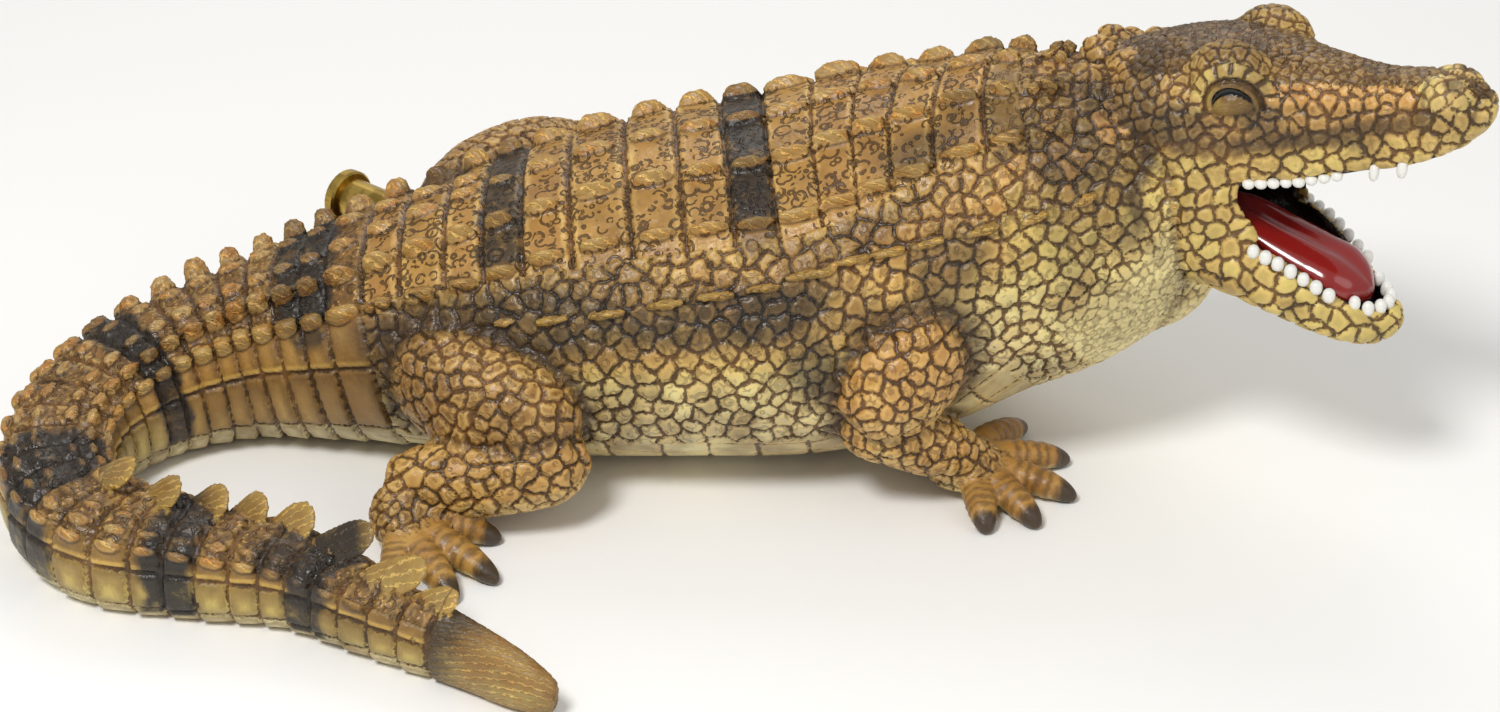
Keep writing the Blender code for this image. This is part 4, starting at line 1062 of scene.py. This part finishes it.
def paintedResin():
    p = Paint("paintedResin", resinColours)
    mottle, grain = p.noise(38, 3, 0.6), p.noise(430, 2, 0.6)
    brushed = p.fit(mottle, 0.3, 0.6, 0.6, 0.2)
    base = p.ramp(p.mask("pale"), resinColours["ground"])
    evenness = p.fit(p.sum("ADD", p.mask("plate"), p.mask("pale")), 0.3, 1.2, 1.0, 0.45)
    base = p.cover(base, p.times(p.fit(p.mask("tint"), 0.0, 1.0, 0.0, 0.65), evenness), "tan")
    base = p.cover(base, p.fit(mottle, 0.42, 0.64, 0.0, 0.6), "mottle")
    base = p.blend(p.times(p.mask("warm"), 0.7), base, p.ramp(p.noise(110, 2, 0.5), resinColours["orange"]))
    base = p.cover(base, p.times(p.mask("brown"), p.fit(p.noise(170, 3, 0.6), 0.3, 0.62, 0.6, 1.0)), "brown")
    # painted highlight on the scales' dry-brushed edges, and painted shade on the edges of the plates
    gap = p.sum("ADD", p.mask("gap"), p.fit(p.noise(520, 2, 0.6), 0.3, 0.7, -0.35, 0.35))
    rim = p.times(p.fit(gap, 1.0, 1.5), p.fit(gap, p.fit(p.mask("plate"), 0.0, 1.0, 3.4, 5.5), 1.8))
    rim = p.times(p.times(rim, p.fit(p.mask("brown"), 0.3, 1.0, 1.0, 0.2)), brushed)
    base = p.blend(rim, base, p.cover(shade(resinColours["scaleRimHighlight"]), p.mask("plate"), "plateEdgeShade"))
    base = p.cover(base, p.fit(p.mask("faint"), 0.0, 1.0, 0.0, 0.5), "cream")
    # painted shade in the hollows of the lumps and painted highlight on their tops
    base = p.cover(base, p.fit(p.mask("lumpShading"), 0.2, 0.7, 0.0, 0.55), "hollowShade")
    base = p.cover(base, p.fit(p.mask("lumpShading"), -0.25, -0.7, 0.0, 0.6), "bumpHighlight")
    # painted shadow round the foot of each keel and leaf
    base = p.cover(base, p.times(p.mask("foot"), 0.75), "keelFootShade")
    # striations of the keels and leaves
    run = p.sum("FRACT", p.sum("ADD", p.mask("stroke"), p.fit(grain, 0.3, 0.7, -0.18, 0.18)))
    cut = p.times(p.fit(p.sum("ABSOLUTE", p.sum("SUBTRACT", run, 0.5)), 0.5, 0.3), p.mask("strokes"))
    # the crests of the keels, leaves and paddle carry their dry-brushed paint, laid brighter as painted
    # highlight
    top = p.times(p.times(p.mask("ridge"), p.fit(grain, 0.34, 0.58, 0.6, 1.0)), 0.9)
    base = p.blend(top, base, p.ramp(p.noise(150, 2, 0.5), resinColours["crestHighlight"]))
    # painted highlight on the keels' tops, the plates' row edges and the leaves' rims
    base = p.cover(base, p.times(p.mask("lit"), p.fit(mottle, 0.3, 0.6, 0.9, 0.5)), "lit")
    base = p.cover(base, p.times(cut, 0.75), "cut")
    # engraved loops, painted shadows, black bands and the grooves
    loops = p.times(p.sum("MAXIMUM", p.loops(215, 0.0), p.loops(150, 7.0)), p.mask("curl"))
    base = p.cover(base, p.times(loops, 0.85), "loop")
    shadow = p.times(p.mask("paintedShade"), p.fit(p.noise(70, 4, 0.6), 0.3, 0.6, 0.6, 1.0))
    base = p.cover(base, p.times(shadow, 0.88), "paintedShade")
    dark = p.times(p.mask("band"), p.fit(p.noise(100, 4, 0.65), 0.3, 0.5, 0.62, 1.0))
    dark = p.times(dark, p.fit(p.mask("ridge"), 0.5, 1.0, 1.0, 0.5))
    base = p.cover(base, dark, "band")
    groove = p.times(p.fit(gap, 1.05, 0.5), p.fit(p.mask("faint"), 0.0, 1.0, 1.0, 0.4))
    trench = p.cover(shade(resinColours["groove"]), p.fit(mottle, 0.4, 0.6), "deepGroove")
    # the grooves go darker still under the painted shadows and in the black bands
    trench = p.cover(trench, p.sum("MAXIMUM", shadow, dark), "blackGroove")
    base = p.blend(p.times(groove, 0.94), base, trench)
    # painted shade in the creases; the toe rings, claws and the mouth's lining are the casting's own paint
    for name, strength in (("rings", 0.65), ("shadedCrease", 0.85), ("claw", 0.92), ("lining", 1.0)):
        base = p.cover(base, p.times(p.mask(name), strength), name)
    slit = p.fit(p.mask("slit"), -0.25, 0.15)
    wet = p.times(p.sum("MAXIMUM", p.mask("lining"), slit), 0.22)
    relief = p.sum("MULTIPLY_ADD", loops, -1.0, p.times(grain, 0.45))
    relief = p.sum("MULTIPLY_ADD", cut, -0.5, relief)
    return p.finish(Base_Color=p.cover(base, slit, "slit"), Normal=p.bump(relief, 0.9, 0.0009),
                    Roughness=p.sum("SUBTRACT", p.fit(p.noise(60, 2, 0.5), 0.3, 0.7, 0.33, 0.47), wet))


def plainGloss(name, code, rough, coat=0.0):
    return Paint(name).finish(Base_Color=shade(code), Roughness=rough, Coat_Weight=coat)


def turnedBrass():
    p = Paint("turnedBrass")
    tarnish = p.blend(p.fit(p.noise(150, 3, 0.5), 0.4, 0.65), shade("D0AE58"), shade("A2843E"))
    return p.finish(Base_Color=tarnish, Metallic=1.0, Roughness=0.3)


resin = paintedResin()
toothPaint = plainGloss("toothPaint", "ECEBE4", 0.28)
tonguePaint = plainGloss("tonguePaint", "8C1B17", 0.2, 0.6)

# the casting as closed stretches: the trunk and the head by length, and each leg by itself
pieceNames = ("tailCurl", "tailRoot", "rump", "midBody", "shoulders", "head",
              "nearHindLeg", "farHindLeg", "nearForeLeg", "farForeLeg")
stretchEnds = (300, 440, 545, 655)
smoothingRounds = 12


def firstLabels():
    label = np.digitize(along, stretchEnds)
    label[onHead] = pieceNames.index("head")
    hind = isKind("thigh", "shank", "foot") | (onToe & (points[:, 0] < 0))
    fore = isKind("arm", "forearm", "hand") | (onToe & (points[:, 0] > 0))
    for limb, name in ((hind, "nearHindLeg"), (fore, "nearForeLeg")):
        label[limb] = pieceNames.index(name) + (handed[limb] < 0)
    return label


def votesAround(label):
    # how many neighbours of each point have each label; its own counts as half a vote
    votes = np.zeros((len(points), len(pieceNames)))
    votes[label >= 0, label[label >= 0]] = 0.5
    for here, there in (edges.T, edges.T[::-1]):
        told = label[there] >= 0
        np.add.at(votes, (here[told], label[there[told]]), 1)
    return votes


def patches(label):
    # the lowest number of the points that share a patch of one label with each point
    patch = np.arange(len(points))
    same = edges[label[edges[:, 0]] == label[edges[:, 1]]]
    while True:
        low = np.minimum(patch[same[:, 0]], patch[same[:, 1]])
        spread = patch.copy()
        for k in (0, 1):
            np.minimum.at(spread, same[:, k], low)
        spread = spread[spread]
        if (spread == patch).all():
            return patch
        patch = spread


def joinStrays(label):
    # small patches apart from their piece take the label of the skin around them; closed bubbles inside
    # the casting touch no such skin and are left out
    patch = patches(label)
    sizeOf = np.bincount(patch, minlength=len(points))
    for i in range(len(pieceNames)):
        members = np.flatnonzero(label == i)
        largest = patch[members][sizeOf[patch[members]].argmax()]
        label[members[patch[members] != largest]] = -1
    print("stray points", int((label < 0).sum()))
    while True:
        votes = votesAround(label)
        found = (label < 0) & (votes.max(1) > 0)
        if not found.any():
            return
        label[found] = votes[found].argmax(1)


corner = np.empty(len(body.data.loops), int)
body.data.loops.foreach_get("vertex_index", corner)
if len(corner) != 4 * len(body.data.polygons):
    raise SystemExit("the remeshed casting is not all quads")
quads = corner.reshape(-1, 4)
edges = np.concatenate([quads[:, (i, (i + 1) % 4)] for i in range(4)])
edges = np.unique(np.sort(edges, axis=1), axis=0)
label = firstLabels()
for _ in range(smoothingRounds):
    label = votesAround(label).argmax(1)
joinStrays(label)
faceLabel = np.sort(label[quads], axis=1)[:, 0]


def rimLoops(rim):
    # edges of a rim, gathered loop by loop
    group, loops = {}, {}

    def root(v):
        while group.setdefault(v, v) != v:
            group[v] = group[group[v]]
            v = group[v]
        return v

    for a, b in rim:
        group[root(a)] = root(b)
    for a, b in rim:
        loops.setdefault(root(a), []).append((a, b))
    return loops.values()


def closedPiece(name, chosen):
    used, local = np.unique(quads[chosen], return_inverse=True)
    local = local.reshape(-1, 4)
    directed = np.concatenate([local[:, (i, (i + 1) % 4)] for i in range(4)])
    key = directed[:, 0] * len(used) + directed[:, 1]
    back = directed[:, 1] * len(used) + directed[:, 0]
    rim = directed[~np.isin(key, back)].tolist()
    # each loop of the rim is closed by a fan to its own middle
    coordinates, caps, centres = points[used], [], []
    for pairs in rimLoops(rim):
        caps += [(b, a, len(used) + len(centres)) for a, b in pairs]
        centres.append(coordinates[sorted({v for pair in pairs for v in pair})].mean(0))
    coordinates = np.concatenate([coordinates, np.reshape(centres, (-1, 3))])
    data = bpy.data.meshes.new(name)
    data.from_pydata(((coordinates - middle) * mm).tolist(), [], local.tolist() + caps)
    data.polygons.foreach_set("use_smooth", [True] * len(local) + [False] * len(caps))
    for title, values in masks.items():
        spread = np.concatenate([values[used], np.zeros(len(centres))])
        data.attributes.new(title, "FLOAT", "POINT").data.foreach_set("value", spread)
    ends = np.empty(len(data.edges) * 2, int)
    data.edges.foreach_get("vertices", ends)
    rimEdges = {tuple(sorted(pair)) for pair in rim}
    sharp = data.attributes.new("sharp_edge", "BOOLEAN", "EDGE")
    onRim = [tuple(sorted(pair)) in rimEdges for pair in ends.reshape(-1, 2).tolist()]
    sharp.data.foreach_set("value", onRim)
    data.materials.append(resin)
    return linked(name, data)


def dressed(obj):
    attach(obj, "root")
    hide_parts("crocodile")
    return obj


for i, name in enumerate(pieceNames):
    piece = dressed(closedPiece(name, faceLabel == i))
    print(name, len(piece.data.polygons), "faces")
bpy.data.objects.remove(body, do_unlink=True)

# tongue
tongueSizes = {
    # distance ahead of the eyes, height, half width, half height, squareness above and below
    "rows": ((-12, 112, 9, 5, 2.0, 2.0), (0, 110, 13, 6.5, 2.2, 2.0), (18, 104.5, 15, 7.5, 2.2, 2.0),
             (34, 98.5, 16, 9.5, 2.2, 2.0), (46, 95.5, 15, 8.5, 2.3, 2.0), (53, 93, 9, 5.5, 2.2, 2.0),
             (56, 92, 3, 2.5, 2.0, 2.0)),
    "furrow": 2.2, "furrowHalf": 0.2, "rings": 60, "sides": 64,
}


def tongueForm():
    count, turns = tongueSizes["rings"], circle(tongueSizes["sides"])
    rings, _ = headRings(tongueSizes["rows"], count, turns)
    dip = np.exp(-(np.sin(turns) / tongueSizes["furrowHalf"]) ** 2) * (np.cos(turns) > 0)
    ends = np.sin(np.linspace(0.15, 1, count) * math.pi) ** 0.5
    rings[..., 2] -= tongueSizes["furrow"] * dip[None, :] * ends[:, None]
    return loftForm(rings - middle, "jaw", keep=False)


tongue = dressed(bodyObject("tongue", [tongueForm()]))
tongue.data.polygons.foreach_set("use_smooth", [True] * len(tongue.data.polygons))
tongue.data.materials.append(tonguePaint)

# teeth
toothSizes = {
    # first and last distance ahead of the eyes, count, radius, length
    "upper": ((12, 43, 8, 2.35, 2.5), (56, 66, 2, 2.0, 4.8)), "lower": ((17, 46, 7, 2.4, 3.6),),
    # middle of the arch, gum stop, arch radius, count, radius, length
    "front": (51.0, 58.0, 12.0, 7, 2.4, 4.0), "inset": 3.0, "spread": math.radians(76),
    "profile": ((-1.0, 0.35, 0.35), (-0.85, 0.8, 0.8), (-0.4, 1.0, 1.0), (0.1, 1.0, 1.0), (0.5, 0.9, 0.9),
                (0.8, 0.66, 0.66), (0.95, 0.36, 0.36), (1.0, 0.12, 0.12)),
    "stand": 0.3, "half": 0.75, "sides": 12,
}


def lip(rows, distance, below):
    table = np.array(rows, float)
    height, halfWidth, halfHeight, square = (
        float(np.interp(distance, table[:, 0], table[:, k])) for k in (1, 2, 3, 5 if below else 4))
    across = 1 - toothSizes["inset"] / halfWidth
    rise = halfHeight * (1 - across**square) ** (1 / square)
    return halfWidth - toothSizes["inset"], height + (-rise if below else rise)


def toothSpots():
    spots = []

    def stand(distance, offset, height, radius, length, way):
        place = headPoint(distance, offset, height + way * length * toothSizes["stand"]) - middle
        spots.append((place * mm, headForward, np.cross(zUp, headForward) * way, zUp * way,
                      (radius * mm, radius * mm, length * toothSizes["half"] * mm)))

    for jaw, row, way in (("skull", "upper", -1), ("jaw", "lower", 1)):
        for first, last, count, radius, length in toothSizes[row]:
            for distance in np.linspace(first, last, count):
                offset, height = lip(headSizes[jaw], distance, way < 0)
                for hand in (1, -1):
                    stand(distance, hand * offset, height, radius, length, way)
    first, stop, reach, count, radius, length = toothSizes["front"]
    for turn in np.linspace(-1, 1, count) * toothSizes["spread"]:
        distance = first + reach * math.cos(turn)
        height = lip(headSizes["jaw"], min(distance, stop), False)[1]
        stand(distance, reach * math.sin(turn), height, radius, length, 1)
    return spots


toothShape = profileShape("toothShape", toothSizes["profile"], toothSizes["sides"])
teeth = dressed(scattered("teeth", toothSpots(), toothShape, toothPaint, 0.94, 1.06, 4))
teeth.data.polygons.foreach_set("use_smooth", [True] * len(teeth.data.polygons))
bpy.data.objects.remove(toothShape, do_unlink=True)
print("mouth set")

# brass hose end, which stays as the part has it
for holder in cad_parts["hose_inlet"].material_slots:
    holder.material = turnedBrass()

# floor, light and camera
studio = {
    "floor": "FAF9F6", "floorHalf": 4.0, "world": 0.43,
    # name, place, aim, size, power
    "lamps": (("keyLamp", (-0.5, -0.9, 1.5), (0, 0, 0.08), 0.5, 19.5),
              ("fillLamp", (1.2, -0.8, 0.9), (0, 0, 0.1), 1.0, 3.0),
              ("backLamp", (0.1, 1.3, 1.3), (0, 0, 0.1), 1.2, 7.0)),
    "target": 0.08, "reach": 1.094, "tilt": math.radians(30), "lens": 70.0, "sensor": 36.0,
}
scene = bpy.context.scene
ground = bpy.data.meshes.new("floor")
half = studio["floorHalf"]
corners = [(x * half, y * half, 0) for x, y in ((-1, -1), (1, -1), (1, 1), (-1, 1))]
ground.from_pydata(corners, [], [(0, 1, 2, 3)])
ground.materials.append(plainGloss("floorPaint", studio["floor"], 0.8))
floor = linked("floor", ground)

for name, place, aim, size, power in studio["lamps"]:
    data = bpy.data.lights.new(name, "AREA")
    data.shape, data.size, data.energy = "DISK", size, power
    lamp = linked(name, data)
    lamp.location = place
    lamp.rotation_euler = (Vector(aim) - Vector(place)).to_track_quat("-Z", "Y").to_euler()

world = bpy.data.worlds.new("studioWorld")
world.use_nodes = True
world.node_tree.nodes["Background"].inputs["Color"].default_value = (1, 1, 1, 1)
world.node_tree.nodes["Background"].inputs["Strength"].default_value = studio["world"]
scene.world = world
scene.view_settings.view_transform = "Standard"

lens = bpy.data.cameras.new("camera")
lens.lens, lens.sensor_width = studio["lens"], studio["sensor"]
camera = linked("camera", lens)
back, lift = math.cos(studio["tilt"]) * studio["reach"], math.sin(studio["tilt"]) * studio["reach"]
camera.location = Vector((0, -back, studio["target"] + lift)) - Vector(middle * mm)
camera.rotation_euler = (math.pi / 2 - studio["tilt"], 0, 0)
scene.camera = camera
